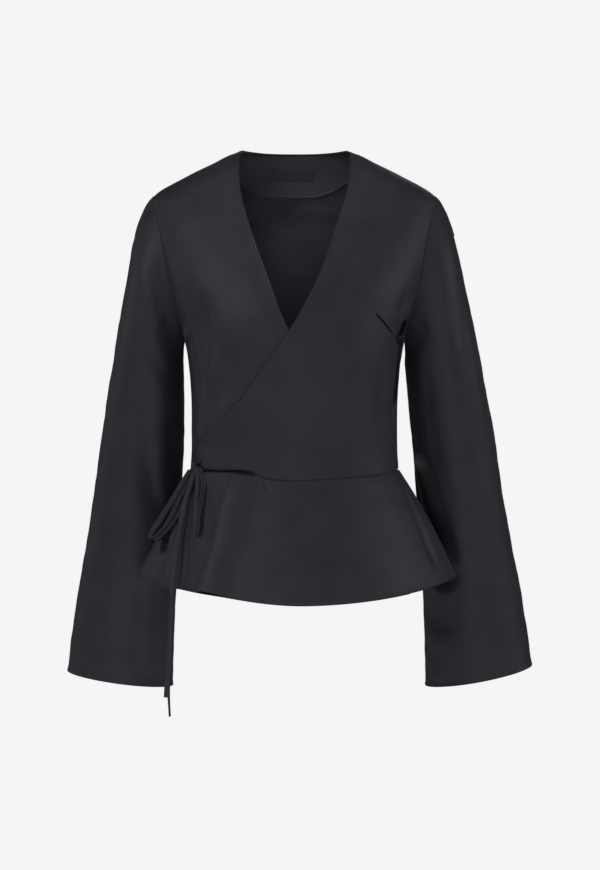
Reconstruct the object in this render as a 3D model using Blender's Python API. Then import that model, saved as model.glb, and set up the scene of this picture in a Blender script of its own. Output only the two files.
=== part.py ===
"""Wrap top with bell sleeves and a peplum: each cut piece as one closed wall of cloth.

The garment is filled out as if worn, with nothing inside. +Z is up, the front faces -Y and
+X is the wearer's left. The origin lies midway between the two neck points, where the
shoulder seams meet the neckline. Sizes below are millimetres; MM turns them into metres.

Places on the torso are given by an angle, 0 at the front centre, 90 at the wearer's left
side, 180 at the back and -90 (or 270) at the right side, and by a drop, the distance
below the neck points.
"""
from collections import namedtuple
import math

import bmesh
import bpy
import numpy as np

MM = 0.001
WALL = 1.2                 # cloth with its turned edges
SEAM_GAP = 0.34            # between two pieces that are sewn together
UNDERLAP_DEPTH = 2.6       # how far the right front runs inside the left front
UNDERLAP_RAMP = 14.0       # degrees over which it dives, and how soon it has done so
UNDERLAP_LEAD = 5.0
UNDERLAP_HEM_EXTRA = 1.0   # how much deeper, as a share, it has gone by the hem

SHOULDER_DROP = 58.0       # outer end of the shoulder seam
UNDERARM_DROP = 252.0
ARMHOLE_FRONT = 47.0       # how far the armhole reaches forward and back
ARMHOLE_BACK = 50.0
BACK_NECK_RISE = 3.8       # of the back neckline, all along but near the neck points
BACK_NECK_TURN = 0.4
BACK_NECK_FADE = 60.0

ARMHOLE_ROWS = 13
SIDE_ROWS = 7
TUCK_ROW = 8.0             # last row of the bodice, above the waist seam
SHOULDER_ROWS = 6
BACK_COLUMNS = 23
FRONT_COLUMNS = 25

# Level sections of the torso: half width, depths before and behind the shoulder seams, and
# how much fuller than an ellipse the corners are.
Section = namedtuple("Section", "drop half_width front back fullness")
TORSO = [
    Section(0, 73.0, 6, 62, 0.00),
    Section(4, 86.0, 13, 65, 0.00),
    Section(15, 107.5, 26, 73, 0.00),
    Section(31, 139.5, 40, 82, 0.01),
    Section(58, 185.0, 57, 93, 0.02),
    Section(68, 192.0, 63, 96, 0.02),
    Section(95, 193.5, 79, 103, 0.03),
    Section(155, 181.0, 108, 110, 0.04),
    Section(200, 163.5, 124, 109, 0.05),
    Section(228, 151.6, 129, 105, 0.06),
    Section(252, 145.2, 131, 101, 0.06),
    Section(262, 142.6, 130, 99, 0.06),
    Section(302, 138.0, 125, 90, 0.05),
    Section(345, 136.0, 112, 81, 0.03),
    Section(390, 136.0, 101, 77, 0.01),
    Section(434, 139.0, 97, 79, 0.00),
]

# Front edges, from the neck point to the waist seam.
EdgePoint = namedtuple("EdgePoint", "drop across")
WRAP_EDGE = [
    EdgePoint(0, 73.0), EdgePoint(28, 72.5), EdgePoint(57, 68.0), EdgePoint(106, 53.4),
    EdgePoint(156, 37.4), EdgePoint(207, 13.6), EdgePoint(247, -10.0), EdgePoint(291, -40.7),
    EdgePoint(325, -64.4), EdgePoint(343, -82.7), EdgePoint(384, -120.3),
    EdgePoint(395, -126.0), EdgePoint(421, -127.6),
]
UNDERLAP_EDGE = [
    EdgePoint(0, -73.0), EdgePoint(28, -73.0), EdgePoint(58, -69.7), EdgePoint(105, -57.4),
    EdgePoint(147, -42.8), EdgePoint(187, -28.5), EdgePoint(215, -18.8),
    EdgePoint(236, -9.2), EdgePoint(291, 30.0), EdgePoint(343, 75.0), EdgePoint(390, 114.0),
    EdgePoint(428, 121.0),
]

SeamPoint = namedtuple("SeamPoint", "angle drop")
WAIST_SEAM = [
    SeamPoint(-90, 418), SeamPoint(-62, 421), SeamPoint(-40, 421), SeamPoint(-25, 425),
    SeamPoint(-10, 433), SeamPoint(0, 434), SeamPoint(25, 431), SeamPoint(50, 427),
    SeamPoint(90, 420), SeamPoint(180, 420), SeamPoint(270, 418),
]

# The cloth that the tie pulls up bulges over the seam beside the knot.
TUCK_DEPTH = 4.5
TUCK_HEIGHT = 26.0
TUCK_START = -64.0
TUCK_START_EASE = 8.0
TUCK_END = -22.0
TUCK_END_EASE = 22.0

# Peplum.
HEM_HALF_WIDTH = 211.0
HEM_CENTRE = 2.3
HEM_FRONT = 142.0
HEM_BACK = 122.0
HEM_TIP_FORWARD = 8.0
HEM_CORNER = 1.2           # over 1 gives the hem line pointed sides
SIDE_HEM_DROP = 561.0
FRONT_HEM_FALL = 30.0
BACK_HEM_FALL = 14.0
HEM_FALL_CORNER = 1.6
HEM_RISE = 6.5             # of the hem beside the wrap, drawn up by the tie
HEM_RISE_ANGLE = -37.0
HEM_RISE_HALF_WIDTH = 42.0
PEPLUM_BOW = 0.06          # how far its sides bulge past a straight line
PEPLUM_SIDE_BOW = 0.19
PEPLUM_ROWS = 6
WRAP_HEM_ANGLE = -45.0     # where the free front edges reach the hem
UNDERLAP_HEM_ANGLE = 45.0

# Flutes of the peplum: a positive depth stands out, and grows from the waist to the hem.
FLUTE_GROWTH = 1.4
Flute = namedtuple("Flute", "angle half_width depth")
FLUTES = [
    Flute(-69, 13, -9.0),
    Flute(-36, 10, 5.0),
    Flute(-24, 9, -2.5),
    Flute(62, 14, -4.0),
    Flute(118, 16, -7.0),
    Flute(150, 14, 6.0),
    Flute(206, 15, 7.0),
    Flute(236, 16, -8.0),
]

# Level sections of each sleeve, distances from the middle of the garment.
SleeveSection = namedtuple("SleeveSection", "drop inner outer centre_y half_depth")
SLEEVE_RIGHT = [
    SleeveSection(140, 150.0, 217.5, 3, 52),
    SleeveSection(200, 148.0, 228.0, 6, 56),
    SleeveSection(262, 147.2, 238.5, 14, 57),
    SleeveSection(330, 147.2, 250.0, 30, 55),
    SleeveSection(420, 150.3, 265.3, 53, 52),
    SleeveSection(500, 155.5, 278.4, 70, 50),
    SleeveSection(600, 162.0, 294.7, 86, 49),
    SleeveSection(720, 166.5, 313.5, 98, 50),
]
SLEEVE_LEFT = [
    SleeveSection(140, 150.0, 218.0, 3, 52),
    SleeveSection(200, 147.5, 231.0, 6, 56),
    SleeveSection(262, 146.6, 243.5, 14, 57),
    SleeveSection(330, 152.0, 257.0, 30, 55),
    SleeveSection(420, 161.0, 274.7, 53, 52),
    SleeveSection(500, 168.0, 289.7, 70, 50),
    SleeveSection(600, 175.0, 308.3, 86, 49),
    SleeveSection(720, 178.7, 329.0, 98, 50),
]
Cuff = namedtuple("Cuff", "outer_drop inner_drop front_fall")
CUFF_RIGHT = Cuff(695.5, 715.5, 4.0)
CUFF_LEFT = Cuff(687.0, 715.5, 5.5)
CAP_OUTER_DROP = 140.0     # where the sleeve head has become the plain tube
CAP_INNER_DROP = 285.0
CAP_ROWS = 5
TUBE_ROWS = 11
CAP_TURN = 160.0           # degrees between the bodice and the sleeve at the underarm
CAP_TURN_POWER = 1.5
CAP_START_PULL = 0.86
CAP_END_PULL = 1.05
SLEEVE_STAND_OFF = 0.25

# Facing and label inside the back neck.
FACING_GAP = 0.5
FACING_ROWS = 4
FACING_DROP_CENTRE = 56.0
FACING_DROP_SIDE = 25.0
FACING_FLAT = 14.0         # degrees either side of the middle where its edge is level
FACING_TURN = 30.0
LABEL_WIDTH = 60.0
LABEL_HEIGHT = 13.0
LABEL_TOP = 15.0
LABEL_CENTRE = -4.0
LABEL_COLUMNS = 5
LABEL_WALL = 0.8
LABEL_GAP = 0.5

# Ties of the same cloth, knotted at the wearer's right.
TIE_WIDTH = 6.5
TIE_WALL = 1.4
TIE_STEP = 9.0
KNOT_PLACE = (-129.9, -45.4, -417.0)
KNOT_RADII = (5.6, 6.0, 8.4)
KNOT_SEGMENTS = 12
KNOT_RINGS = 8
ROUTE_STEPS = 20           # points worked out between two of a route's own
RoutePoint = namedtuple("RoutePoint", "x y z")
SIDE_LOOP = [
    RoutePoint(-136.6, -48.8, -421.0), RoutePoint(-146.0, -47.0, -437.0),
    RoutePoint(-160.0, -42.0, -461.0), RoutePoint(-176.0, -35.0, -486.0),
    RoutePoint(-186.5, -30.0, -501.0), RoutePoint(-188.5, -28.5, -508.0),
    RoutePoint(-182.5, -29.0, -510.0), RoutePoint(-170.0, -35.0, -499.5),
    RoutePoint(-156.0, -42.0, -481.0), RoutePoint(-145.5, -46.0, -458.0),
    RoutePoint(-138.0, -46.0, -439.0), RoutePoint(-133.6, -45.4, -427.4),
]
DOWN_LOOP = [
    RoutePoint(-128.0, -52.6, -417.5), RoutePoint(-127.4, -54.4, -426.0),
    RoutePoint(-126.6, -60.5, -442.0), RoutePoint(-126.4, -71.5, -464.0),
    RoutePoint(-126.2, -83.0, -487.0), RoutePoint(-125.6, -88.0, -497.0),
    RoutePoint(-124.2, -90.6, -500.0), RoutePoint(-122.8, -92.0, -496.0),
    RoutePoint(-121.6, -84.0, -474.0), RoutePoint(-122.4, -71.0, -449.0),
    RoutePoint(-125.2, -58.6, -427.0), RoutePoint(-126.8, -55.0, -416.0),
]
TAIL_FRONT = [
    RoutePoint(-130.6, -50.8, -422.2), RoutePoint(-134.0, -53.0, -437.0),
    RoutePoint(-139.5, -58.5, -455.0), RoutePoint(-145.5, -72.0, -488.0),
    RoutePoint(-151.5, -93.0, -530.0), RoutePoint(-155.0, -109.0, -572.0),
    RoutePoint(-157.3, -112.0, -612.0), RoutePoint(-160.5, -112.0, -657.0),
    RoutePoint(-163.8, -111.0, -710.6),
]
TAIL_BACK = [
    RoutePoint(-129.8, -48.4, -424.9), RoutePoint(-135.5, -50.6, -440.0),
    RoutePoint(-141.5, -56.5, -459.0), RoutePoint(-147.5, -69.5, -490.0),
    RoutePoint(-153.0, -90.0, -531.0), RoutePoint(-156.5, -105.5, -572.0),
    RoutePoint(-158.0, -108.5, -612.0), RoutePoint(-159.5, -107.5, -657.0),
    RoutePoint(-161.2, -105.5, -700.0), RoutePoint(-159.6, -105.0, -735.6),
]

FABRIC = (0.026, 0.028, 0.031)
FABRIC_ROUGHNESS = 0.55
LABEL_COLOUR = (0.008, 0.008, 0.009)
LABEL_ROUGHNESS = 0.4

NORMAL_STEP = 0.4          # degrees and millimetres between the points a normal is taken from
FALL_STEP = 0.0025         # the same down the peplum, as a share of its height
BISECTIONS = 40
SHARP_ANGLE = 40.0         # edges sharper than this are not shaded smooth


def column(rows, name):
    """One named column of a table, as numbers."""
    return np.array([getattr(row, name) for row in rows], float)


def smooth(keys, values, at):
    """Monotone cubic through the rising keys and their values, level beyond the ends."""
    at = np.clip(np.asarray(at, float), keys[0], keys[-1])
    steps = np.diff(keys)
    slopes = np.diff(values) / steps
    tangents = np.zeros_like(values)
    same = slopes[:-1] * slopes[1:] > 0
    total = np.where(same, slopes[:-1] + slopes[1:], 1.0)
    tangents[1:-1] = np.where(same, 2 * slopes[:-1] * slopes[1:] / total, 0.0)
    tangents[0], tangents[-1] = slopes[0], slopes[-1]
    cell = np.clip(np.searchsorted(keys, at, side="right") - 1, 0, len(steps) - 1)
    width = steps[cell]
    t = (at - keys[cell]) / width
    start, end = values[cell], values[cell + 1]
    rise = (t ** 3 - 2 * t ** 2 + t) * width * tangents[cell]
    fall = (t ** 3 - t ** 2) * width * tangents[cell + 1]
    return start * (2 * t ** 3 - 3 * t ** 2 + 1) + end * (3 * t ** 2 - 2 * t ** 3) + rise + fall


def look_up(rows, name, at):
    """Smooth value of a column at a key, where the table's first column holds the keys."""
    return smooth(column(rows, rows[0]._fields[0]), column(rows, name), at)


def ease(value):
    """0 below 0, 1 above 1 and a soft step between."""
    t = np.clip(value, 0.0, 1.0)
    return t * t * (3 - 2 * t)


def hump(value, middle, half_width):
    """1 at the middle and 0 from half a width away, with a soft slope between."""
    return (1 + np.cos(np.clip((value - middle) / half_width, -1, 1) * math.pi)) / 2


def unit(vectors):
    return vectors / np.linalg.norm(vectors, axis=-1, keepdims=True)


# ---------------------------------------------------------------- surfaces

def torso(angle, drop):
    """Point of the worn bodice's outer face."""
    turn = np.radians(angle)
    sine, cosine = np.sin(turn), np.cos(turn)
    depth = np.where(cosine > 0, look_up(TORSO, "front", drop), look_up(TORSO, "back", drop))
    corner = 1 + look_up(TORSO, "fullness", drop) * np.sin(2 * turn) ** 2
    rise = BACK_NECK_RISE * ease(-cosine / BACK_NECK_TURN)
    rise = rise * np.clip(1 - np.asarray(drop) / BACK_NECK_FADE, 0, 1)
    x = look_up(TORSO, "half_width", drop) * sine * corner
    return np.stack([x, -depth * cosine * corner, rise - drop + 0 * x], axis=-1)


def peplum(angle, fall):
    """Point of the peplum's outer face; fall is 0 at the waist seam and 1 at the hem."""
    angle, fall = np.broadcast_arrays(np.asarray(angle, float), np.asarray(fall, float))
    turn = np.radians(angle)
    sine, cosine = np.sin(turn), np.cos(turn)
    reach = np.abs(cosine) ** HEM_CORNER
    hem_y = np.where(cosine > 0, -HEM_FRONT * reach, HEM_BACK * reach) - HEM_TIP_FORWARD
    side_fall = np.where(cosine > 0, FRONT_HEM_FALL, BACK_HEM_FALL)
    hem_z = -SIDE_HEM_DROP - side_fall * np.abs(cosine) ** HEM_FALL_CORNER
    hem_z = hem_z + HEM_RISE * hump(angle, HEM_RISE_ANGLE, HEM_RISE_HALF_WIDTH)
    hem = np.stack([HEM_CENTRE + HEM_HALF_WIDTH * sine, hem_y, hem_z], axis=-1)
    waist = torso(angle, look_up(WAIST_SEAM, "drop", angle))
    bow = (PEPLUM_BOW + PEPLUM_SIDE_BOW * sine) * fall * (1 - fall)
    spread = (fall + bow)[..., None]
    point = waist + (hem - waist) * np.concatenate([spread, spread, fall[..., None]], axis=-1)
    outward = np.stack([sine, -cosine, 0 * sine], axis=-1)
    grown = np.maximum(fall, 0) ** FLUTE_GROWTH
    for flute in FLUTES:
        wave = hump(angle, flute.angle, flute.half_width)
        point = point + outward * (flute.depth * wave * grown)[..., None]
    return point


def normals(surface, angle, second):
    """Outward unit normals of torso() or peplum(), whose second value goes down."""
    along = surface(angle + NORMAL_STEP, second) - surface(angle - NORMAL_STEP, second)
    step = NORMAL_STEP if surface is torso else FALL_STEP
    down = surface(angle, second + step) - surface(angle, second - step)
    return unit(np.cross(down, along))


def angle_for_x(drop, across):
    """Angle on the front of the torso at which it is `across` from the middle."""
    low, high = -90.0 + 0 * drop, 90.0 + 0 * drop
    for _ in range(BISECTIONS):
        middle = (low + high) / 2
        beyond = torso(middle, drop)[..., 0] > across
        low, high = np.where(beyond, low, middle), np.where(beyond, middle, high)
    return (low + high) / 2


def angle_for_y(drop, distance, front):
    """Angle at the wearer's left where the torso lies `distance` before or behind y = 0."""
    low, high = 0 * drop, 90.0 + 0 * drop
    for _ in range(BISECTIONS):
        middle = (low + high) / 2
        reach = np.abs(torso(middle if front else 180 - middle, drop)[..., 1])
        nearer = reach > distance
        low, high = np.where(nearer, middle, low), np.where(nearer, high, middle)
    middle = (low + high) / 2
    return middle if front else 180 - middle


# ---------------------------------------------------------------- outlines in angle and drop

def armhole(front):
    """(angle, drop) rows of the wearer's left armhole, from the shoulder to the underarm."""
    turn = np.linspace(0, math.pi, ARMHOLE_ROWS + 1)
    height = UNDERARM_DROP - SHOULDER_DROP
    drop = SHOULDER_DROP + height * (1 - np.cos(turn)) / 2
    reach = ARMHOLE_FRONT if front else ARMHOLE_BACK
    angle = angle_for_y(drop, reach * np.sin(turn), front)
    angle[0] = angle[-1] = 90.0
    return np.stack([angle, drop], axis=-1)


def side_seam(seam_angle):
    """(angle, drop) rows of a side seam, from below the underarm to the waist seam."""
    end = float(look_up(WAIST_SEAM, "drop", seam_angle))
    drops = np.linspace(UNDERARM_DROP, end - TUCK_ROW, SIDE_ROWS + 1)[1:]
    drops = np.append(drops, end)
    return np.stack([np.full(len(drops), float(seam_angle)), drops], axis=-1)


def bodice_side(seam_angle, front):
    """Armhole and side seam of the wearer's left, or mirrored, as one boundary."""
    arm = armhole(front)
    if seam_angle == -90:
        arm[:, 0] = -arm[:, 0]
    if seam_angle == 270:
        arm[:, 0] = 360 - arm[:, 0]
    return np.concatenate([arm, side_seam(seam_angle)])


def front_edge(edge):
    """(angle, drop) rows of a front's free edge, paced like its side."""
    rows = ARMHOLE_ROWS + SIDE_ROWS
    waist_angle = angle_for_x(edge[-1].drop, edge[-1].across)
    end = float(look_up(WAIST_SEAM, "drop", waist_angle))
    drops = np.append(np.linspace(0, end - TUCK_ROW, rows + 1), end)
    across = look_up(edge, "across", drops)
    angles = angle_for_x(drops, across)
    angles[0] = math.copysign(90, across[0])
    return np.stack([angles, drops], axis=-1)


def waist_line(start, end, count):
    angles = np.linspace(start, end, count)
    return np.stack([angles, look_up(WAIST_SEAM, "drop", angles)], axis=-1)


def shoulder_line(angle, count):
    """(angle, drop) of the shoulder seam, from the neck point outward."""
    return np.stack([np.full(count, float(angle)), np.linspace(0, SHOULDER_DROP, count)], axis=-1)


def front_grid(edge, seam_angle):
    """(angle, drop) rows of a front, each from its free edge to its armhole or side."""
    free = front_edge(edge)
    side = bodice_side(seam_angle, True)
    across = np.linspace(0, 1, FRONT_COLUMNS)[None, :, None]
    grid = free[:, None] * (1 - across) + side[:, None] * across
    grid[-1] = waist_line(free[-1, 0], seam_angle, FRONT_COLUMNS)
    return grid


# ---------------------------------------------------------------- walls and meshes

SIDES = {"top": np.s_[0], "bottom": np.s_[-1], "left": np.s_[:, 0], "right": np.s_[:, -1]}
BESIDE = {"top": np.s_[1], "bottom": np.s_[-2], "left": np.s_[:, 1], "right": np.s_[:, -2]}


def inset(grid, sides):
    """Draw the named sides of a grid of points in by half a seam gap, square to each side."""
    moved = grid.copy()
    for side in sides:
        edge, near = grid[SIDES[side]], grid[BESIDE[side]]
        tangent = unit(np.gradient(edge, axis=0))
        inward = near - edge
        inward = inward - (inward * tangent).sum(-1, keepdims=True) * tangent
        moved[SIDES[side]] += unit(inward) * SEAM_GAP / 2
    return moved


def mesh_object(name, points, faces, colour=FABRIC, rough=FABRIC_ROUGHNESS):
    """A closed object from points in millimetres, with its own material."""
    shape = bmesh.new()
    vertices = [shape.verts.new(np.asarray(point) * MM) for point in points]
    for face in faces:
        shape.faces.new([vertices[index] for index in face])
    bmesh.ops.recalc_face_normals(shape, faces=shape.faces)
    mesh = bpy.data.meshes.new(name)
    shape.to_mesh(mesh)
    shape.free()
    mesh.shade_smooth()
    mesh.set_sharp_from_angle(angle=math.radians(SHARP_ANGLE))
    material = bpy.data.materials.new(name)
    material.use_nodes = True
    shader = material.node_tree.nodes["Principled BSDF"]
    shader.inputs["Base Color"].default_value = (*colour, 1)
    shader.inputs["Roughness"].default_value = rough
    mesh.materials.append(material)
    placed = bpy.data.objects.new(name, mesh)
    bpy.context.collection.objects.link(placed)


def sheet_faces(rows, columns, closed):
    """Two triangles for each cell of a grid, its last column joined to the first if closed."""
    faces = []
    for row in range(rows - 1):
        for index in range(columns if closed else columns - 1):
            after = (index + 1) % columns
            a, b = row * columns + index, row * columns + after
            c, d = b + columns, a + columns
            faces += [(a, b, c), (a, c, d)]
    return faces


def wall(name, outer, inner, closed=False, **finish):
    """A closed wall between two grids of points of the same layout."""
    rows, columns = outer.shape[:2]
    count = rows * columns
    faces = sheet_faces(rows, columns, closed)
    faces += [(a + count, c + count, b + count) for a, b, c in faces]
    index = np.arange(count).reshape(rows, columns)
    if closed:
        rims = [np.append(index[0], index[0, 0]), np.append(index[-1], index[-1, 0])]
    else:
        rims = [np.concatenate([index[0], index[1:, -1], index[-1, -2::-1], index[-2::-1, 0]])]
    for rim in rims:
        for a, b in zip(rim[:-1], rim[1:]):
            faces += [(a, b, b + count), (a, b + count, a + count)]
    points = np.concatenate([outer.reshape(-1, 3), inner.reshape(-1, 3)])
    mesh_object(name, points, faces, **finish)


def panel(name, surface, grid, lift, seams):
    """A wall over a grid of surface values, its outer face `lift` above the surface."""
    across = normals(surface, grid[..., 0], grid[..., 1])
    face = surface(grid[..., 0], grid[..., 1]) + across * np.asarray(lift)[..., None]
    wall(name, inset(face, seams), inset(face - across * WALL, seams))


# ---------------------------------------------------------------- bodice

def dive(angle, edge_angle):
    """How far the right front lies inside the surface: none until near the wrap edge."""
    short_of_edge = edge_angle - UNDERLAP_LEAD - angle
    return -UNDERLAP_DEPTH * ease(1 - short_of_edge / UNDERLAP_RAMP)


def tuck(angle, drop):
    """Bulge of the overlap above the waist seam beside the knot."""
    above = look_up(WAIST_SEAM, "drop", angle) - drop
    run = ease((angle - TUCK_START) / TUCK_START_EASE) * ease((TUCK_END - angle) / TUCK_END_EASE)
    rise = ease(above / TUCK_ROW) * ease((TUCK_HEIGHT - above) / (TUCK_HEIGHT - TUCK_ROW))
    return TUCK_DEPTH * run * rise


def front_panels():
    seams = ["top", "right", "bottom"]
    grid = front_grid(WRAP_EDGE, 90)
    panel("front_left", torso, grid, tuck(grid[..., 0], grid[..., 1]), seams)
    grid = front_grid(UNDERLAP_EDGE, -90)
    wrap_angle = angle_for_x(grid[..., 1], look_up(WRAP_EDGE, "across", grid[..., 1]))
    panel("front_right", torso, grid, dive(grid[..., 0], wrap_angle), seams)


def back_grid():
    """(angle, drop) rows of the back, each level from the wearer's right to the left."""
    shoulder = shoulder_line(270, SHOULDER_ROWS + 1)[:-1]
    right = np.concatenate([shoulder, bodice_side(270, False)])
    left = right * [-1, 1] + [360, 0]
    left[-1] = side_seam(90)[-1]
    across = np.linspace(0, 1, BACK_COLUMNS)[None, :, None]
    grid = right[:, None] * (1 - across) + left[:, None] * across
    grid[-1] = waist_line(270, 90, BACK_COLUMNS)
    return grid


def back_panel():
    grid = back_grid()
    panel("back_bodice", torso, grid, np.zeros(grid.shape[:2]), ["left", "right", "bottom"])


# ---------------------------------------------------------------- peplum

def free_edge_angle(edge, hem_angle, fall):
    """Angle of a peplum front's free edge, from the waist seam down to the hem."""
    waist_angle = front_edge(edge)[-1, 0]
    return waist_angle + (hem_angle - waist_angle) * np.asarray(fall, float)


def peplum_panel(name, starts, ends, columns, dives=False):
    """One panel of the peplum between two rows of angles, one for each level."""
    falls = np.linspace(0, 1, PEPLUM_ROWS)
    across = np.linspace(0, 1, columns)[None, :]
    angles = starts[:, None] * (1 - across) + ends[:, None] * across
    grid = np.stack([angles, np.broadcast_to(falls[:, None], angles.shape)], axis=-1)
    lift = np.zeros(angles.shape)
    if dives:
        lift = dive(angles, free_edge_angle(WRAP_EDGE, WRAP_HEM_ANGLE, falls)[:, None])
        lift = lift * (1 + UNDERLAP_HEM_EXTRA * falls[:, None])
    seams = ["top"] + [side for side, angle in (("left", starts[0]), ("right", ends[0]))
                       if angle in (-90, 90, 270)]
    return panel(name, peplum, grid, lift, seams)


def peplum_panels():
    falls = np.linspace(0, 1, PEPLUM_ROWS)
    level = np.ones(PEPLUM_ROWS)
    wrap = free_edge_angle(WRAP_EDGE, WRAP_HEM_ANGLE, falls)
    under = free_edge_angle(UNDERLAP_EDGE, UNDERLAP_HEM_ANGLE, falls)
    peplum_panel("peplum_front_left", wrap, 90 * level, FRONT_COLUMNS)
    peplum_panel("peplum_front_right", -90 * level, under, FRONT_COLUMNS, dives=True)
    peplum_panel("peplum_back", 90 * level, 270 * level, BACK_COLUMNS)


# ---------------------------------------------------------------- sleeves

def sleeve_tube(sections, side, turn, drop):
    """Point of a sleeve's outer face; turn is 0 at its outer side, 90 in front."""
    round_it = np.radians(turn)
    inner, outer = look_up(sections, "inner", drop), look_up(sections, "outer", drop)
    x = (outer + inner) / 2 + (outer - inner) / 2 * np.cos(round_it)
    depth = look_up(sections, "half_depth", drop) * np.sin(round_it)
    return np.stack([side * x, look_up(sections, "centre_y", drop) - depth, -drop + 0 * x], axis=-1)


def sleeve_head(sections, side):
    """Rows of the sleeve head from the armhole to the tube, and where each line joins it."""
    front, back = armhole(True), armhole(False)
    ring = np.concatenate([front, back[-2:0:-1]])
    angle, drop = side * ring[:, 0], ring[:, 1]
    seam = torso(angle, drop)
    outward = normals(torso, angle, drop)
    around = unit(np.roll(seam, -1, axis=0) - np.roll(seam, 1, axis=0))
    onward = side * np.cross(outward, around)
    start = seam + onward * SEAM_GAP / 2 + outward * SLEEVE_STAND_OFF
    index = np.arange(len(ring))
    turn = 180.0 * index / ARMHOLE_ROWS
    depth = 1 - np.abs(turn / 180 - 1)
    swing = np.radians(CAP_TURN) * depth[:, None] ** CAP_TURN_POWER
    leave = onward * np.cos(swing) + outward * np.sin(swing)
    middle, half = (CAP_OUTER_DROP + CAP_INNER_DROP) / 2, (CAP_INNER_DROP - CAP_OUTER_DROP) / 2
    join_drop = middle - half * np.cos(np.radians(turn))
    join = sleeve_tube(sections, side, turn, join_drop)
    arrive = unit(sleeve_tube(sections, side, turn, join_drop + 1) - join)
    reach = np.linalg.norm(join - start, axis=-1, keepdims=True)
    rows = []
    for t in np.linspace(0, 1, CAP_ROWS + 1):
        rows.append(start * (2 * t ** 3 - 3 * t ** 2 + 1) + join * (3 * t ** 2 - 2 * t ** 3)
                    + leave * reach * CAP_START_PULL * (t ** 3 - 2 * t ** 2 + t)
                    + arrive * reach * CAP_END_PULL * (t ** 3 - t ** 2))
    return np.array(rows), turn, join_drop


def grid_normals(grid, side):
    """Outward unit normals of a tube's grid, whose columns run round it."""
    around = np.roll(grid, -1, axis=1) - np.roll(grid, 1, axis=1)
    return side * unit(np.cross(around, np.gradient(grid, axis=0)))


def sleeve(name, sections, cuff, side):
    head, turn, join_drop = sleeve_head(sections, side)
    round_it = np.radians(turn)
    cuff_drop = (cuff.outer_drop + cuff.inner_drop) / 2 + cuff.front_fall * np.sin(round_it)
    cuff_drop = cuff_drop + (cuff.outer_drop - cuff.inner_drop) / 2 * np.cos(round_it)
    rows = [sleeve_tube(sections, side, turn, join_drop + (cuff_drop - join_drop) * t)
            for t in np.linspace(0, 1, TUBE_ROWS + 1)[1:]]
    outer = np.concatenate([head, rows])
    inner = outer - grid_normals(outer, side) * WALL
    wall(name, outer, inner, closed=True)


# ---------------------------------------------------------------- facing and label

def facing_limit(angle):
    """Drop of the facing's lower edge."""
    rise = ease((np.abs(angle - 180) - FACING_FLAT) / FACING_TURN)
    return FACING_DROP_CENTRE + (FACING_DROP_SIDE - FACING_DROP_CENTRE) * rise


def along_column(values, rows):
    """Values of a grid at a fractional row of each column."""
    whole = np.clip(np.floor(rows).astype(int), 0, values.shape[0] - 2)
    part_way = (rows - whole)[:, None]
    columns = np.arange(values.shape[1])
    return values[whole, columns] * (1 - part_way) + values[whole + 1, columns] * part_way


def facing_rows(grid):
    """Fractional row at which the facing ends in each column of the back."""
    below = grid[..., 1] - facing_limit(grid[..., 0])
    first = np.argmax(below > 0, axis=0)
    columns = np.arange(grid.shape[1])
    before, after = below[first - 1, columns], below[first, columns]
    return first - 1 + before / (before - after)


def neck_facing():
    """Facing moved in from the back bodice's own points, and the label moved in from it."""
    grid = back_grid()
    points = torso(grid[..., 0], grid[..., 1])
    outward = normals(torso, grid[..., 0], grid[..., 1])
    limit = facing_rows(grid)
    shares = np.linspace(0, 1, FACING_ROWS)
    face = np.array([along_column(points, limit * share) for share in shares])
    outward = unit(np.array([along_column(outward, limit * share) for share in shares]))
    outer = face - outward * (WALL + FACING_GAP)
    seams = ["left", "right"]
    wall("neck_facing", inset(outer, seams), inset(outer - outward * WALL, seams))
    neck_label(outer - outward * (WALL + LABEL_GAP), outward)


def neck_label(face, outward):
    """Bare label, its corners found on the facing's inner face by width and height."""
    corners = []
    for z in (-LABEL_TOP, -LABEL_TOP - LABEL_HEIGHT):
        row = [place_on_column(face, outward, index, z) for index in range(face.shape[1])]
        places = np.array([point for point, _ in row])
        ways = np.array([way for _, way in row])
        spots = np.linspace(LABEL_CENTRE + LABEL_WIDTH / 2, LABEL_CENTRE - LABEL_WIDTH / 2,
                            LABEL_COLUMNS)
        order = np.argsort(places[:, 0])
        corners.append([
            (np.array([np.interp(x, places[order, 0], places[order, axis]) for axis in range(3)]),
             np.array([np.interp(x, places[order, 0], ways[order, axis]) for axis in range(3)]))
            for x in spots])
    outer = np.array([[point for point, _ in row] for row in corners])
    ways = unit(np.array([[way for _, way in row] for row in corners]))
    wall("neck_label", outer, outer - ways * LABEL_WALL, colour=LABEL_COLOUR, rough=LABEL_ROUGHNESS)


def place_on_column(face, outward, index, z):
    """Point and normal where one column of the facing passes a height."""
    heights = -face[:, index, 2]
    point = np.array([np.interp(-z, heights, face[:, index, axis]) for axis in range(3)])
    way = np.array([np.interp(-z, heights, outward[:, index, axis]) for axis in range(3)])
    return point, way


# ---------------------------------------------------------------- ties

def route_through(points, step):
    """Smooth curve through hand-placed points, read off at even steps."""
    points = np.array(points, float)
    ahead = np.concatenate([[2 * points[0] - points[1]], points, [2 * points[-1] - points[-2]]])
    fine = []
    for index in range(len(points) - 1):
        a, b, c, d = ahead[index:index + 4]
        for t in np.linspace(0, 1, ROUTE_STEPS, endpoint=False):
            fine.append(0.5 * (2 * b + (c - a) * t + (2 * a - 5 * b + 4 * c - d) * t * t
                               + (3 * b - a - 3 * c + d) * t ** 3))
    fine = np.array(fine + [points[-1]])
    length = np.concatenate([[0], np.cumsum(np.linalg.norm(np.diff(fine, axis=0), axis=1))])
    even = np.linspace(0, length[-1], max(3, round(length[-1] / step) + 1))
    return np.stack([np.interp(even, length, fine[:, axis]) for axis in range(3)], axis=-1)


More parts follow.
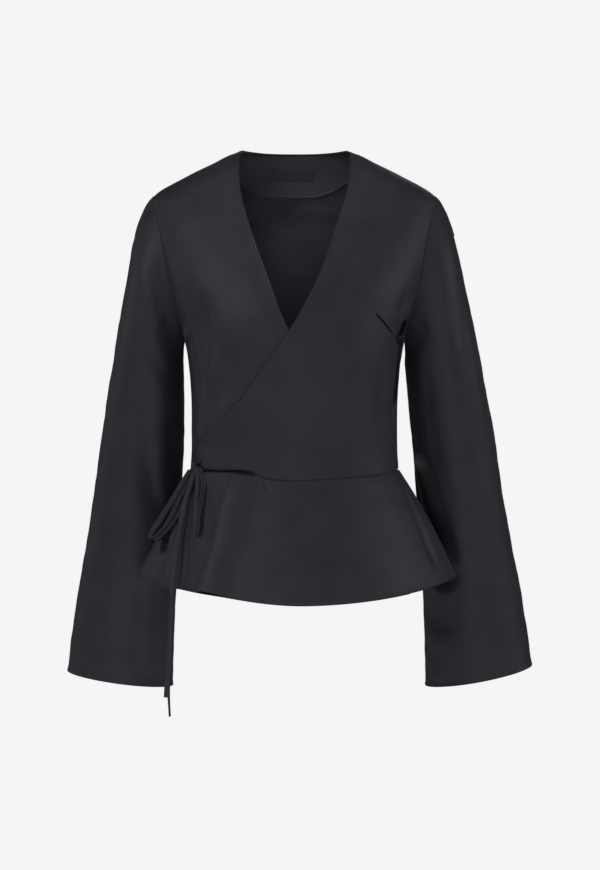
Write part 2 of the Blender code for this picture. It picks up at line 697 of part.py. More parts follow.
def strap(name, route, look=None, side=None, twist_power=1):
    """Flat strap along a route. `look` gives the directions its broad face has at both ends,
    or `side` the direction its width keeps; the twist between them can wait for the end."""
    centre = route_through(route, TIE_STEP)
    tangent = unit(np.gradient(centre, axis=0))
    if side is None:
        share = np.linspace(0, 1, len(centre))[:, None] ** twist_power
        side = np.cross(tangent, unit(np.array(look[0]) * (1 - share) + np.array(look[1]) * share))
    side = side - (np.array(side) * tangent).sum(-1, keepdims=True) * tangent
    across = unit(side) * TIE_WIDTH / 2
    thick = unit(np.cross(across, tangent)) * TIE_WALL / 2
    ring = np.stack([centre + across + thick, centre + across - thick,
                     centre - across - thick, centre - across + thick], axis=1)
    faces = sheet_faces(len(centre), 4, True)
    last = 4 * (len(centre) - 1)
    faces += [(0, 1, 2), (0, 2, 3), (last, last + 2, last + 1), (last, last + 3, last + 2)]
    mesh_object(name, ring.reshape(-1, 3), faces)


def knot():
    """Small rounded lump where both ties cross."""
    shape = bmesh.new()
    bmesh.ops.create_uvsphere(shape, u_segments=KNOT_SEGMENTS, v_segments=KNOT_RINGS, radius=1)
    points = [np.array(KNOT_PLACE) + np.array(KNOT_RADII) * vertex.co for vertex in shape.verts]
    faces = [[vertex.index for vertex in face.verts] for face in shape.faces]
    shape.free()
    mesh_object("tie_knot", points, faces)


def ties():
    forward, leftward = (0.0, -1.0, 0.0), (1.0, 0.0, 0.0)
    knot()
    strap("tie_loop_side", SIDE_LOOP, look=(forward, forward))
    strap("tie_loop_down", DOWN_LOOP, side=leftward)
    strap("tie_tail_front", TAIL_FRONT, look=(forward, forward))
    strap("tie_tail_back", TAIL_BACK, look=(forward, leftward), twist_power=3)


def build():
    for old in list(bpy.data.objects):
        bpy.data.objects.remove(old, do_unlink=True)
    front_panels()
    back_panel()
    peplum_panels()
    sleeve("sleeve_right", SLEEVE_RIGHT, CUFF_RIGHT, -1)
    sleeve("sleeve_left", SLEEVE_LEFT, CUFF_LEFT, 1)
    neck_facing()
    ties()


build()
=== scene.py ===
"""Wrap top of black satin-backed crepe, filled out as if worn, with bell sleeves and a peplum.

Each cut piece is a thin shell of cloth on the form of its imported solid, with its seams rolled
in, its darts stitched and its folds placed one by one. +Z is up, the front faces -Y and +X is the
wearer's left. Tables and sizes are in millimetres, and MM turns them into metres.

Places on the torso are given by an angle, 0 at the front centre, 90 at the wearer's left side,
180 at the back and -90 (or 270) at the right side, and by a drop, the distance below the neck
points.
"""
from __future__ import annotations

import logging
import math
from dataclasses import dataclass
from enum import Enum
from typing import Callable, NamedTuple, Sequence

import bpy
import numpy as np
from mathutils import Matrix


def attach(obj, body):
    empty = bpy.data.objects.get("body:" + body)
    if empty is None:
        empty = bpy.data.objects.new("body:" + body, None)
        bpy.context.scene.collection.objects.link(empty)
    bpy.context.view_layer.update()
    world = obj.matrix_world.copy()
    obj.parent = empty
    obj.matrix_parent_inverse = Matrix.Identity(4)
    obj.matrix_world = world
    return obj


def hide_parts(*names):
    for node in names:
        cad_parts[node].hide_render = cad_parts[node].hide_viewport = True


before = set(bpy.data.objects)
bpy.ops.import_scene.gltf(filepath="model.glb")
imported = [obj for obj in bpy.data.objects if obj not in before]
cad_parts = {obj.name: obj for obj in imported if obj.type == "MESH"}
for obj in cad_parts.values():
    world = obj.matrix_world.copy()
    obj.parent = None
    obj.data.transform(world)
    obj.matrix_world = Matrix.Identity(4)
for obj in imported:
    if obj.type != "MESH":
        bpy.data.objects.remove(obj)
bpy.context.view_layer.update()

Array = np.ndarray

MM = 0.001                 # in metres
ROOT = "root"              # the only body: the top has no joints

log = logging.getLogger("wrap_top")


# ---------------------------------------------------------------- sizes of the cut

class Section(NamedTuple):
    """Level section of the torso: half width, depths and fullness of its corners."""

    drop: float
    half_width: float
    front: float
    back: float
    fullness: float


class EdgePoint(NamedTuple):
    """Point of a front's free edge: drop below the neck and distance across from the middle."""

    drop: float
    across: float


class SeamPoint(NamedTuple):
    """Point of the waist seam."""

    angle: float
    drop: float


class Flute(NamedTuple):
    """Flare wave of the peplum, standing out where its depth is positive."""

    angle: float
    half_width: float
    depth: float


class SleeveSection(NamedTuple):
    """Level section of a sleeve."""

    drop: float
    inner: float
    outer: float
    centre_y: float
    half_depth: float


class Cuff(NamedTuple):
    """Drops of a sleeve's open end at its outer and inner side, and its fall in front."""

    outer_drop: float
    inner_drop: float
    front_fall: float


class Zone(NamedTuple):
    """Stretch of a grid with closer points. A start below 0 counts back from the end."""

    start: float
    length: float
    step: float


class RoutePoint(NamedTuple):
    """Point that a tie passes through."""

    x: float
    y: float
    z: float


class Slot(Enum):
    """Names of the material slots."""

    CLOTH = "cloth"
    TIE_CLOTH = "tie_cloth"
    LABEL = "label"


class Held(Enum):
    """How a piece of cloth is held."""

    DRAPED = "draped"
    HUNG = "hung"
    LAID = "laid"


class Cut(NamedTuple):
    """Cut of a piece, in metres: the rectangle it comes from, its own area, how it is held and
    the pieces that carry it."""

    width: float
    length: float
    area: float
    held: Held
    carriers: tuple[str, ...] = ()


TORSO = (
    Section(0, 73.0, 6, 62, 0.00),
    Section(4, 86.0, 13, 65, 0.00),
    Section(15, 107.5, 26, 73, 0.00),
    Section(31, 139.5, 40, 82, 0.01),
    Section(58, 185.0, 57, 93, 0.02),
    Section(68, 192.0, 63, 96, 0.02),
    Section(95, 193.5, 79, 103, 0.03),
    Section(155, 181.0, 108, 110, 0.04),
    Section(200, 163.5, 124, 109, 0.05),
    Section(228, 151.6, 129, 105, 0.06),
    Section(252, 145.2, 131, 101, 0.06),
    Section(262, 142.6, 130, 99, 0.06),
    Section(302, 138.0, 125, 90, 0.05),
    Section(345, 136.0, 112, 81, 0.03),
    Section(390, 136.0, 101, 77, 0.01),
    Section(434, 139.0, 97, 79, 0.00),
)
BACK_NECK_RISE = 3.8       # of the back's neck edge over the neck points
BACK_NECK_TURN = 0.4
BACK_NECK_FADE = 60.0

SHOULDER_DROP = 58.0
UNDERARM_DROP = 252.0
ARMHOLE_FRONT = 47.0
ARMHOLE_BACK = 50.0
ARMHOLE_CORNER = 1.6       # over 1 keeps the armhole straighter near the shoulder

WRAP_EDGE = (
    EdgePoint(0, 73.0), EdgePoint(28, 72.5), EdgePoint(57, 68.0), EdgePoint(106, 53.4),
    EdgePoint(156, 37.4), EdgePoint(207, 13.6), EdgePoint(247, -10.0), EdgePoint(291, -40.7),
    EdgePoint(325, -64.4), EdgePoint(343, -82.7), EdgePoint(384, -120.3),
    EdgePoint(395, -126.0), EdgePoint(421, -127.6),
)
UNDERLAP_EDGE = (
    EdgePoint(0, -73.0), EdgePoint(28, -73.0), EdgePoint(58, -69.7), EdgePoint(105, -57.4),
    EdgePoint(147, -42.8), EdgePoint(187, -28.5), EdgePoint(215, -18.8),
    EdgePoint(236, -9.2), EdgePoint(291, 30.0), EdgePoint(343, 75.0), EdgePoint(390, 114.0),
    EdgePoint(428, 121.0),
)
UNDERLAP_DEPTH = 2.6       # how far the right front runs inside the left front
UNDERLAP_RAMP = 14.0       # degrees over which it dives, and how soon it has done so
UNDERLAP_LEAD = 5.0
UNDERLAP_HEM_EXTRA = 1.0   # how much deeper, as a share, it has gone by the hem

WAIST_SEAM = (
    SeamPoint(-90, 418), SeamPoint(-62, 421), SeamPoint(-40, 421), SeamPoint(-25, 425),
    SeamPoint(-10, 433), SeamPoint(0, 434), SeamPoint(25, 431), SeamPoint(50, 427),
    SeamPoint(90, 420), SeamPoint(180, 420), SeamPoint(270, 418),
)

TUCK_START = -64.0         # degrees, of the tuck that the bow pulls into the waist seam
TUCK_RISE = 8.0
TUCK_END = -20.0
TUCK_FADE = 22.0

HEM_CENTRE = 2.3
HEM_HALF_WIDTH = 211.0
HEM_FRONT = 142.0
HEM_BACK = 122.0
HEM_TIP_FORWARD = 8.0
HEM_CORNER = 1.2
SIDE_HEM_DROP = 561.0
FRONT_HEM_FALL = 29.2
BACK_HEM_FALL = 14.0
HEM_FALL_CORNER = 1.6
HEM_RISE = 6.5             # of the hem beside the wrap, drawn up by the tie
HEM_RISE_ANGLE = -37.0
HEM_RISE_HALF_WIDTH = 42.0
PEPLUM_BOW = 0.06
PEPLUM_SIDE_BOW = 0.19
WRAP_HEM_ANGLE = -45.0     # where the free front edges reach the hem
UNDERLAP_HEM_ANGLE = 45.0
FLUTE_GROWTH = 1.4
FLUTES = (
    Flute(-69, 13, -9.0),
    Flute(-36, 12, 3.6),
    Flute(62, 18, -1.4),
    Flute(118, 16, -7.0),
    Flute(150, 14, 6.0),
    Flute(206, 15, 7.0),
    Flute(236, 16, -8.0),
)

SLEEVE_RIGHT = (
    SleeveSection(140, 150.0, 217.5, 3, 52),
    SleeveSection(200, 148.0, 228.0, 6, 56),
    SleeveSection(262, 147.2, 238.5, 14, 57),
    SleeveSection(330, 147.2, 250.0, 30, 55),
    SleeveSection(420, 150.3, 265.3, 53, 52),
    SleeveSection(500, 155.5, 278.4, 70, 50),
    SleeveSection(600, 162.0, 294.7, 86, 49),
    SleeveSection(720, 166.5, 313.5, 98, 50),
)
SLEEVE_LEFT = (
    SleeveSection(140, 150.0, 218.0, 3, 52),
    SleeveSection(200, 147.5, 231.0, 6, 56),
    SleeveSection(262, 146.6, 243.5, 14, 57),
    SleeveSection(330, 152.0, 257.0, 30, 55),
    SleeveSection(420, 161.0, 274.7, 53, 52),
    SleeveSection(500, 168.0, 289.7, 70, 50),
    SleeveSection(600, 175.0, 308.3, 86, 49),
    SleeveSection(720, 178.7, 329.0, 98, 50),
)
CUFF_RIGHT = Cuff(695.5, 715.5, 4.0)
CUFF_LEFT = Cuff(687.0, 715.5, 5.5)
CAP_OUTER_DROP = 140.0
CAP_INNER_DROP = 285.0
CAP_TURN = 160.0
CAP_TURN_POWER = 1.5
CAP_START_PULL = 0.86
CAP_END_PULL = 1.05

FACING_DEPTH = 1.7         # of its outer face inside the back's
FACING_EDGE = (
    SeamPoint(91, 28.0), SeamPoint(140, 30.0), SeamPoint(152.8, 36.0), SeamPoint(160, 43.8),
    SeamPoint(165.3, 48.5), SeamPoint(170, 52.0), SeamPoint(180, 52.7), SeamPoint(188, 52.5),
    SeamPoint(194.5, 51.0), SeamPoint(202.5, 43.8), SeamPoint(209.1, 36.0),
    SeamPoint(222, 30.0), SeamPoint(269, 28.0),
)
LABEL_WIDTH = 60.0
LABEL_HEIGHT = 13.0
LABEL_TOP = 15.0
LABEL_CENTRE = -4.0
LABEL_DEPTH = 3.4          # of its outer face inside the back's
LABEL_ZONES = (Zone(0.0, 1.6, 0.4), Zone(-1.6, 1.6, 0.4))

TIE_WIDTH = 6.5
TIE_WALL = 2.8
KNOT_PLACE = (-129.9, -45.4, -417.0)
KNOT_HALF = (5.6, 6.0, 8.2)
KNOT_CAP = 8.3             # of its ends, from its middle
SIDE_LOOP = (
    RoutePoint(-136.6, -48.8, -421.0), RoutePoint(-146.0, -47.0, -437.0),
    RoutePoint(-160.0, -42.0, -461.0), RoutePoint(-176.0, -35.0, -486.0),
    RoutePoint(-186.5, -30.0, -501.0), RoutePoint(-188.5, -28.5, -508.0),
    RoutePoint(-182.5, -29.0, -510.0), RoutePoint(-170.0, -35.0, -499.5),
    RoutePoint(-156.0, -42.0, -481.0), RoutePoint(-145.5, -46.0, -458.0),
    RoutePoint(-138.0, -46.0, -439.0), RoutePoint(-133.6, -45.4, -427.4),
)
DOWN_LOOP = (
    RoutePoint(-128.0, -52.6, -417.5), RoutePoint(-125.4, -55.6, -428.0),
    RoutePoint(-125.6, -61.6, -444.0), RoutePoint(-126.8, -71.5, -464.0),
    RoutePoint(-127.4, -82.4, -487.0), RoutePoint(-126.2, -88.4, -499.6),
    RoutePoint(-125.6, -91.6, -502.0), RoutePoint(-125.2, -94.0, -498.6),
    RoutePoint(-123.0, -86.0, -475.0), RoutePoint(-119.2, -73.6, -453.0),
    RoutePoint(-118.2, -64.4, -437.0), RoutePoint(-121.4, -57.8, -424.0),
    RoutePoint(-126.6, -55.0, -416.0),
)
TAIL_FRONT = (
    RoutePoint(-130.6, -50.8, -422.2), RoutePoint(-134.0, -53.0, -437.0),
    RoutePoint(-139.5, -58.5, -455.0), RoutePoint(-145.5, -72.0, -488.0),
    RoutePoint(-151.5, -93.0, -530.0), RoutePoint(-155.0, -109.0, -572.0),
    RoutePoint(-157.3, -112.0, -612.0), RoutePoint(-160.5, -112.0, -657.0),
    RoutePoint(-163.8, -111.0, -710.6),
)
TAIL_BACK = (
    RoutePoint(-129.8, -48.4, -424.9), RoutePoint(-135.5, -50.6, -440.0),
    RoutePoint(-141.5, -56.5, -459.0), RoutePoint(-147.5, -69.5, -490.0),
    RoutePoint(-153.0, -90.0, -531.0), RoutePoint(-156.5, -105.5, -572.0),
    RoutePoint(-158.0, -108.5, -612.0), RoutePoint(-159.5, -107.5, -657.0),
    RoutePoint(-161.2, -105.5, -700.0), RoutePoint(-159.6, -105.0, -735.6),
)


# ---------------------------------------------------------------- folds, placed one by one

class Facing(Enum):
    """Which way the cloth under a fold faces: the axis of its route's first number, and the
    sign and axis of the outward direction."""

    FRONT = (0, 1, -1.0)
    BACK = (0, 1, 1.0)
    LEFT = (1, 0, 1.0)
    RIGHT = (1, 0, -1.0)


FRONT, BACK, LEFT, RIGHT = Facing


class Fold(NamedTuple):
    """One ridge (height over 0) or trough of the cloth. Skew widens the side to the right of
    someone who faces the cloth and looks down the route, and the route holds pairs of a
    distance across and a height, seen square on."""

    facing: Facing
    half_width: float
    height: float
    skew: float
    route: tuple[tuple[float, float], ...]
    taper: float = 0.28  # share of its length over which an end fades
    crisp: bool = False  # sharp along its middle, as a pressed crease is


class Hollow(NamedTuple):
    """A place where every piece is pushed the same way, so that the seams in it stay shut."""

    half_width: float
    push: tuple[float, float, float]
    route: tuple[tuple[float, float, float], ...]


RIPPLE_SLANT = 0.7         # these four keep the waves from lining up
RIPPLE_TURN = 1.7
RIPPLE_BEND = 0.8
RIPPLE_BEND_PACE = 0.37


class Ripple(NamedTuple):
    """Very soft unevenness all over a piece: length of a wave, its height and its lean."""

    length: float
    height: float
    lean: float

    def rise(self, points: Array, number: int) -> Array:
        """Height of the wave at some points.

        Args:
            points: Points of the cloth.
            number: Place of the wave in its list, which sets it off from the others.

        Returns:
            The height at each point.
        """
        way = np.array([math.cos(self.lean), math.sin(self.lean) * RIPPLE_SLANT,
                        math.sin(self.lean * RIPPLE_TURN + number)])
        phase = points @ way * (2 * math.pi / self.length)
        bend = RIPPLE_BEND * np.sin(phase * RIPPLE_BEND_PACE)
        return self.height * np.sin(phase + RIPPLE_TURN * number + bend)


FOLDS: dict[str, tuple[Fold, ...]] = {
    "front_right": (
        # two pairs of creases that meet in a V above the waist
        Fold(FRONT, 4.4, 2.6, 0.1, ((-136.0, -250), (-132.5, -271), (-127.7, -297), (-124.0, -323),
             (-123.0, -340)), 0.12, True),
        Fold(FRONT, 1.7, -1.9, 0.0, ((-139.2, -254), (-135.6, -272), (-130.8, -297), (-127.0, -322),
             (-125.6, -342)), 0.14, True),
        Fold(FRONT, 1.8, -1.9, 0.0, ((-114.6, -262), (-117.4, -285), (-120.0, -310),
             (-123.4, -336)), 0.16, True),
        Fold(FRONT, 8.0, 3.2, 0.45, ((-111.2, -253), (-113.4, -271), (-115.2, -290), (-117.8, -316),
             (-121.0, -338), (-123.2, -362), (-124.2, -386)), 0.1, True),
        # the hollow under the arm, and the creases that are pulled into it
        Fold(FRONT, 31.0, -9.0, 0.0, ((-151, -187), (-134, -204), (-123, -224), (-116, -256),
             (-113, -302)), 0.42),
        Fold(FRONT, 9.0, -1.7, 0.5, ((-160, -181), (-146, -189), (-131, -196), (-121, -204)), 0.3),
        Fold(FRONT, 2.2, -2.4, 0.0, ((-124.6, -206), (-122.4, -213), (-121.8, -219)), 0.3, True),
        Fold(FRONT, 2.4, 2.4, 0.0, ((-140.6, -230), (-139.6, -238), (-138.8, -246)), 0.3, True),
        Fold(FRONT, 2.6, -3.2, 0.0, ((-145.6, -232), (-143.6, -241), (-142.2, -251)), 0.3, True),
        # soft ones below the wrap edge and down the side
        Fold(FRONT, 7.0, -1.6, 0.0, ((-82, -298), (-74, -315), (-67, -333))),
        Fold(FRONT, 16.0, 1.4, 0.0, ((-100, -300), (-88, -340), (-92, -372))),
        Fold(RIGHT, 9.0, -1.6, 0.0, ((-34, -270), (-30, -330), (-34, -395))),
    ),
    "front_left": (
        # the bust dart
        Fold(FRONT, 2.0, -5.4, 0.0, ((105.5, -219.5), (113.5, -227.5), (121.5, -236),
             (130, -245.5)), 0.06, True),
        Fold(FRONT, 2.4, 0.7, 0.0, ((117.0, -244), (119.4, -255), (120.5, -267))),
        # puckers above the knot
        Fold(FRONT, 3.4, 1.6, 0.0, ((-124.5, -391), (-119.0, -410))),
        Fold(FRONT, 3.2, 1.2, 0.0, ((-115.5, -396), (-108.0, -412))),
        # soft ones over the chest and down the side
        Fold(FRONT, 26.0, -1.8, 0.0, ((66, -98), (92, -137), (88, -190))),
        Fold(FRONT, 14.0, -1.6, 0.0, ((151, -186), (134, -224))),
        Fold(FRONT, 18.0, 1.0, 0.0, ((96, -250), (86, -320), (90, -400))),
        Fold(FRONT, 16.0, -1.2, 0.0, ((118, -262), (112, -330), (116, -404))),
        Fold(LEFT, 10.0, 1.7, 0.0, ((-44, -262), (-34, -330), (-40, -400))),
    ),
    "back_bodice": (
        Fold(BACK, 20.0, -1.8, 0.0, ((-60, -70), (-86, -130), (-80, -200))),
        Fold(BACK, 18.0, -1.6, 0.0, ((64, -66), (92, -128), (82, -210))),
        Fold(BACK, 12.0, 1.8, 0.0, ((-130, -226), (-92, -280), (-76, -350))),
        Fold(BACK, 10.0, 1.5, 0.3, ((128, -232), (98, -276), (70, -334))),
        Fold(BACK, 11.0, -1.7, 0.0, ((-112, -372), (-60, -388), (-14, -384))),
        Fold(BACK, 9.0, -1.3, 0.2, ((108, -358), (66, -372), (26, -374))),
        # the waist tucks
        Fold(BACK, 1.5, -0.8, 0.0, ((-52, -262), (-56, -330), (-58, -404))),
        Fold(BACK, 1.5, -0.8, 0.0, ((52, -262), (56, -330), (58, -404))),
        Fold(BACK, 14.0, -1.2, 0.0, ((8, -300), (-6, -350), (4, -400))),
    ),
    "peplum_front_left": (
        # the ridge from the waist to the hem
        Fold(FRONT, 27.0, 8.4, -0.5, ((-77, -414), (-84, -452), (-90, -484), (-98, -523),
             (-109, -556), (-122, -612)), 0.2),
        Fold(FRONT, 60.0, 3.6, -0.7, ((-84, -428), (-92, -484), (-101, -523), (-122, -612)), 0.3),
        # small creases under the seam and at the hem
        Fold(FRONT, 2.4, -1.2, 0.0, ((-39.3, -431), (-35.7, -441.7), (-29.9, -452)), 0.3, True),
        Fold(FRONT, 2.6, 1.2, 0.0, ((-123.0, -558), (-119.0, -571)), 0.3, True),
        Fold(FRONT, 2.6, 1.1, 0.0, ((-112.6, -558), (-116.5, -570)), 0.3, True),
        Fold(FRONT, 2.8, 0.8, 0.0, ((-136.7, -494), (-134.6, -520), (-134.0, -550))),
        Fold(FRONT, 30.0, 0.8, 0.0, ((-20, -446), (-24, -520), (-30, -586))),
        Fold(FRONT, 26.0, -0.8, 0.0, ((52, -440), (66, -520), (74, -590))),
        Fold(LEFT, 12.0, -2.4, 0.0, ((-30, -430), (-48, -500), (-58, -560))),
    ),
    "peplum_front_right": (
        Fold(FRONT, 7.0, -2.6, 0.0, ((-147, -482), (-158.6, -504.6), (-167, -534), (-170, -566)),
             0.3),
        Fold(FRONT, 9.0, 1.8, 0.0, ((-164, -482), (-183, -528), (-193, -562))),
        Fold(RIGHT, 10.0, 1.8, 0.0, ((-22, -430), (-36, -500), (-42, -560))),
    ),
    "peplum_back": (
        Fold(BACK, 15.0, 2.4, 0.0, ((-96, -424), (-112, -500), (-122, -568))),
        Fold(BACK, 14.0, -2.0, 0.2, ((-48, -424), (-52, -500), (-60, -570))),
        Fold(BACK, 18.0, 1.8, 0.0, ((10, -424), (6, -500), (14, -572))),
        Fold(BACK, 13.0, -2.2, -0.2, ((62, -424), (76, -500), (82, -570))),
        Fold(BACK, 15.0, 2.0, 0.0, ((110, -424), (130, -500), (146, -566))),
    ),
    "sleeve_right": (
        Fold(FRONT, 24.0, -4.2, 0.3, ((-199, -262), (-198, -355), (-193, -421), (-184, -470),
             (-172, -516))),
        Fold(FRONT, 13.0, 1.0, 0.0, ((-176, -280), (-174, -355), (-172, -440))),
        Fold(FRONT, 17.0, -1.8, 0.0, ((-200, -170), (-194, -250), (-170, -312))),
        Fold(FRONT, 18.0, 1.6, 0.0, ((-236, -500), (-248, -610), (-256, -706))),
        Fold(FRONT, 16.0, -1.3, 0.0, ((-205, -560), (-210, -640), (-212, -712))),
        Fold(FRONT, 6.0, 1.0, 0.0, ((-168, -214), (-178, -232), (-196, -252))),
        Fold(BACK, 17.0, -3.4, 0.0, ((-214, -240), (-218, -340), (-204, -440))),
        Fold(BACK, 14.0, 2.4, 0.2, ((-182, -300), (-186, -400), (-196, -480))),
        Fold(BACK, 20.0, 2.0, 0.0, ((-250, -520), (-256, -620), (-262, -706))),
        Fold(BACK, 16.0, -1.8, 0.0, ((-200, -540), (-206, -630), (-210, -706))),
        Fold(RIGHT, 16.0, 2.4, 0.0, ((12, -190), (34, -300), (62, -430))),
        Fold(RIGHT, 14.0, -2.4, 0.0, ((40, -300), (66, -400), (84, -540))),
        Fold(RIGHT, 18.0, 1.6, 0.0, ((74, -520), (88, -620), (92, -700))),
    ),
    "sleeve_left": (
        Fold(FRONT, 15.0, -1.6, 0.0, ((172, -262), (180, -355), (193, -447))),
        Fold(FRONT, 18.0, 1.3, 0.0, ((196, -230), (206, -329), (214, -434), (230, -540))),
        Fold(FRONT, 18.0, -1.8, 0.0, ((214, -180), (232, -300), (246, -420))),
        Fold(FRONT, 18.0, 1.0, 0.0, ((238, -556), (258, -637), (272, -690))),
        Fold(FRONT, 16.0, -0.8, 0.0, ((206, -590), (216, -660), (221, -712))),
        Fold(FRONT, 6.0, 1.1, 0.0, ((168, -216), (178, -236), (194, -262))),
        Fold(BACK, 18.0, -3.2, 0.0, ((212, -230), (226, -330), (222, -440))),
        Fold(BACK, 14.0, 2.6, -0.2, ((184, -290), (190, -390), (206, -480))),
        Fold(BACK, 19.0, 1.8, 0.0, ((262, -520), (272, -620), (282, -698))),
        Fold(BACK, 17.0, -1.9, 0.0, ((206, -540), (216, -630), (222, -706))),
        Fold(LEFT, 15.0, 2.2, 0.0, ((8, -190), (28, -310), (58, -440))),
        Fold(LEFT, 14.0, -2.2, 0.0, ((36, -290), (60, -400), (80, -520))),
        Fold(LEFT, 18.0, 1.7, 0.0, ((78, -530), (90, -620), (96, -690))),
    ),
    "neck_facing": (
        Fold(BACK, 4.0, -0.5, 0.0, ((-60, -30), (-52, -44))),
        Fold(BACK, 4.0, 0.5, 0.0, ((58, -30), (50, -42))),
    ),
}
RIPPLES = (
    Ripple(74.0, 0.30, 0.4), Ripple(53.0, 0.22, -1.1), Ripple(37.0, 0.13, 1.9),
    Ripple(26.0, 0.08, 0.9),
)
HOLLOWS = (
    Hollow(19.0, (-2.0, 26.0, 0.0), ((143, -50, -231), (137, -58, -243))),
    Hollow(15.0, (0.0, 15.0, 0.0), ((137, -46, -250), (134, -46, -285), (130, -42, -326))),
    Hollow(9.0, (2.0, 12.0, 0.0), ((-143, -46, -239), (-140, -40, -252))),
    Hollow(4.4, (2.4, 7.0, 0.0), ((-120, -48.5, -419.6), (-112, -57.8, -419.6),
         (-99.5, -68.3, -419.6), (-85, -77.5, -419.8), (-69, -84.9, -422.0), (-55, -89.5, -424.8))),
    Hollow(9.0, (5.0, 18.0, 0.0), ((-156, -29, -474), (-162.5, -32.5, -492), (-168, -35, -509),
         (-171, -40, -524))),
    Hollow(31.0, (0.0, 25.0, 0.0), ((164, 30, -428), (181, 32, -490), (194, 37, -543),
         (198, 41, -560))),
    Hollow(40.0, (0.0, 7.0, 0.0), ((198, 44, -560), (196, 58, -620))),
)


# ---------------------------------------------------------------- small sums

PACE_SAMPLES = 4001
HALVINGS = 40


def column(rows: Sequence[tuple], name: str) -> Array:
    """One named column of a table, as numbers."""
    return np.array([getattr(row, name) for row in rows], float)


def smooth(keys: Array, values: Array, at: Array) -> Array:
    """Monotone cubic through a table, level beyond its ends.

    Args:
        keys: Rising places of the values.
        values: One value for each key.
        at: Places to look up.

    Returns:
        The smooth values at those places.
    """
    at = np.clip(np.asarray(at, float), keys[0], keys[-1])
    steps = np.diff(keys)
    slopes = np.diff(values) / steps
    tangents = np.zeros_like(values)
    same = slopes[:-1] * slopes[1:] > 0
    total = np.where(same, slopes[:-1] + slopes[1:], 1.0)
    tangents[1:-1] = np.where(same, 2 * slopes[:-1] * slopes[1:] / total, 0.0)
    tangents[0], tangents[-1] = slopes[0], slopes[-1]
    cell = np.clip(np.searchsorted(keys, at, side="right") - 1, 0, len(steps) - 1)
    width = steps[cell]
    return cubic((at - keys[cell]) / width, values[cell], width * tangents[cell],
                 values[cell + 1], width * tangents[cell + 1])


def cubic(t: Array | float, start: Array, leave: Array, end: Array, arrive: Array) -> Array:
    """Cubic between two places, with its directions given at both.

    Args:
        t: Share of the way, from 0 to 1.
        start: Its first place.
        leave: Its direction there.
        end: Its last place.
        arrive: Its direction there.

    Returns:
        The place at that share.
    """
    return (start * (2 * t ** 3 - 3 * t ** 2 + 1) + end * (3 * t ** 2 - 2 * t ** 3)
            + leave * (t ** 3 - 2 * t ** 2 + t) + arrive * (t ** 3 - t ** 2))


def look_up(rows: Sequence[tuple], name: str, at: Array | float) -> Array:
    """Smooth value of a table's column, where its first column holds the keys."""
    return smooth(column(rows, rows[0]._fields[0]), column(rows, name), at)


def ease(value: Array | float) -> Array:
    """0 below 0, 1 above 1 and a soft step between."""
    t = np.clip(value, 0.0, 1.0)
    return t * t * (3 - 2 * t)


def hump(value: Array, middle: float, half_width: float) -> Array:
    """1 at the middle and 0 from half a width away, with a soft slope between."""
    return (1 + np.cos(np.clip((value - middle) / half_width, -1, 1) * math.pi)) / 2


def unit(vectors: Array) -> Array:
    """Vectors scaled to a length of 1."""
    return vectors / np.maximum(np.linalg.norm(vectors, axis=-1, keepdims=True), 1e-12)


def paced(length: float, step: float, zones: Sequence[Zone]) -> Array:
    """Places along a length, closer together inside some zones.

    Args:
        length: Whole length.
        step: Gap between places outside the zones.
        zones: Stretches with a finer gap of their own.

    Returns:
        Rising places from 0 to the length.
    """
    at = np.linspace(0.0, length, PACE_SAMPLES)
    gap = np.full_like(at, step)
    for zone in zones:
        start = zone.start if zone.start >= 0 else length + zone.start
        inside = (at >= start) & (at <= start + zone.length)
        gap = np.where(inside, np.minimum(gap, zone.step), gap)
    total = np.concatenate([[0.0], np.cumsum((1 / gap[:-1] + 1 / gap[1:]) / 2 * np.diff(at))])
    return np.interp(np.linspace(0.0, total[-1], math.ceil(total[-1]) + 1), total, at)


# ---------------------------------------------------------------- forms

class BodyForm:
    """Outer face of the worn bodice, by angle and drop."""

    normal_step = (0.4, 0.4)
    soft_reach = 15.0                       # distance over which the sections' joins are eased
    soft_start = 100.0
    soft_run = 50.0
    soft_weights = ((-1.0, 0.1), (-0.5, 0.22), (0.0, 0.36), (0.5, 0.22), (1.0, 0.1))

    def profile(self, name: str, drop: Array) -> Array:
        """Value of a section, its bends eased below the shoulders.

        Args:
            name: Column of the torso's table.
            drop: Distances below the neck points.

        Returns:
            The value at each drop.
        """
        reach = self.soft_reach * ease((drop - self.soft_start) / self.soft_run)
        reach = np.minimum(reach, TORSO[-1].drop - np.minimum(drop, TORSO[-1].drop))
        total = 0.0
        for share, weight in self.soft_weights:
            total = total + weight * look_up(TORSO, name, drop + share * reach)
        return total

    def point(self, angle: Array, drop: Array) -> Array:
        """Point of the torso's outer face.

        Args:
            angle: Degrees round the torso.
            drop: Distance below the neck points.

        Returns:
            Points with a last axis of three.
        """
        angle, drop = np.broadcast_arrays(np.asarray(angle, float), np.asarray(drop, float))
        turn = np.radians(angle)
        sine, cosine = np.sin(turn), np.cos(turn)
        depth = np.where(cosine > 0, self.profile("front", drop), self.profile("back", drop))
        corner = 1 + look_up(TORSO, "fullness", drop) * np.sin(2 * turn) ** 2
        rise = BACK_NECK_RISE * ease(-cosine / BACK_NECK_TURN)
        rise = rise * np.clip(1 - drop / BACK_NECK_FADE, 0, 1)
        x = self.profile("half_width", drop) * sine * corner
        return np.stack([x, -depth * cosine * corner, rise - drop], axis=-1)


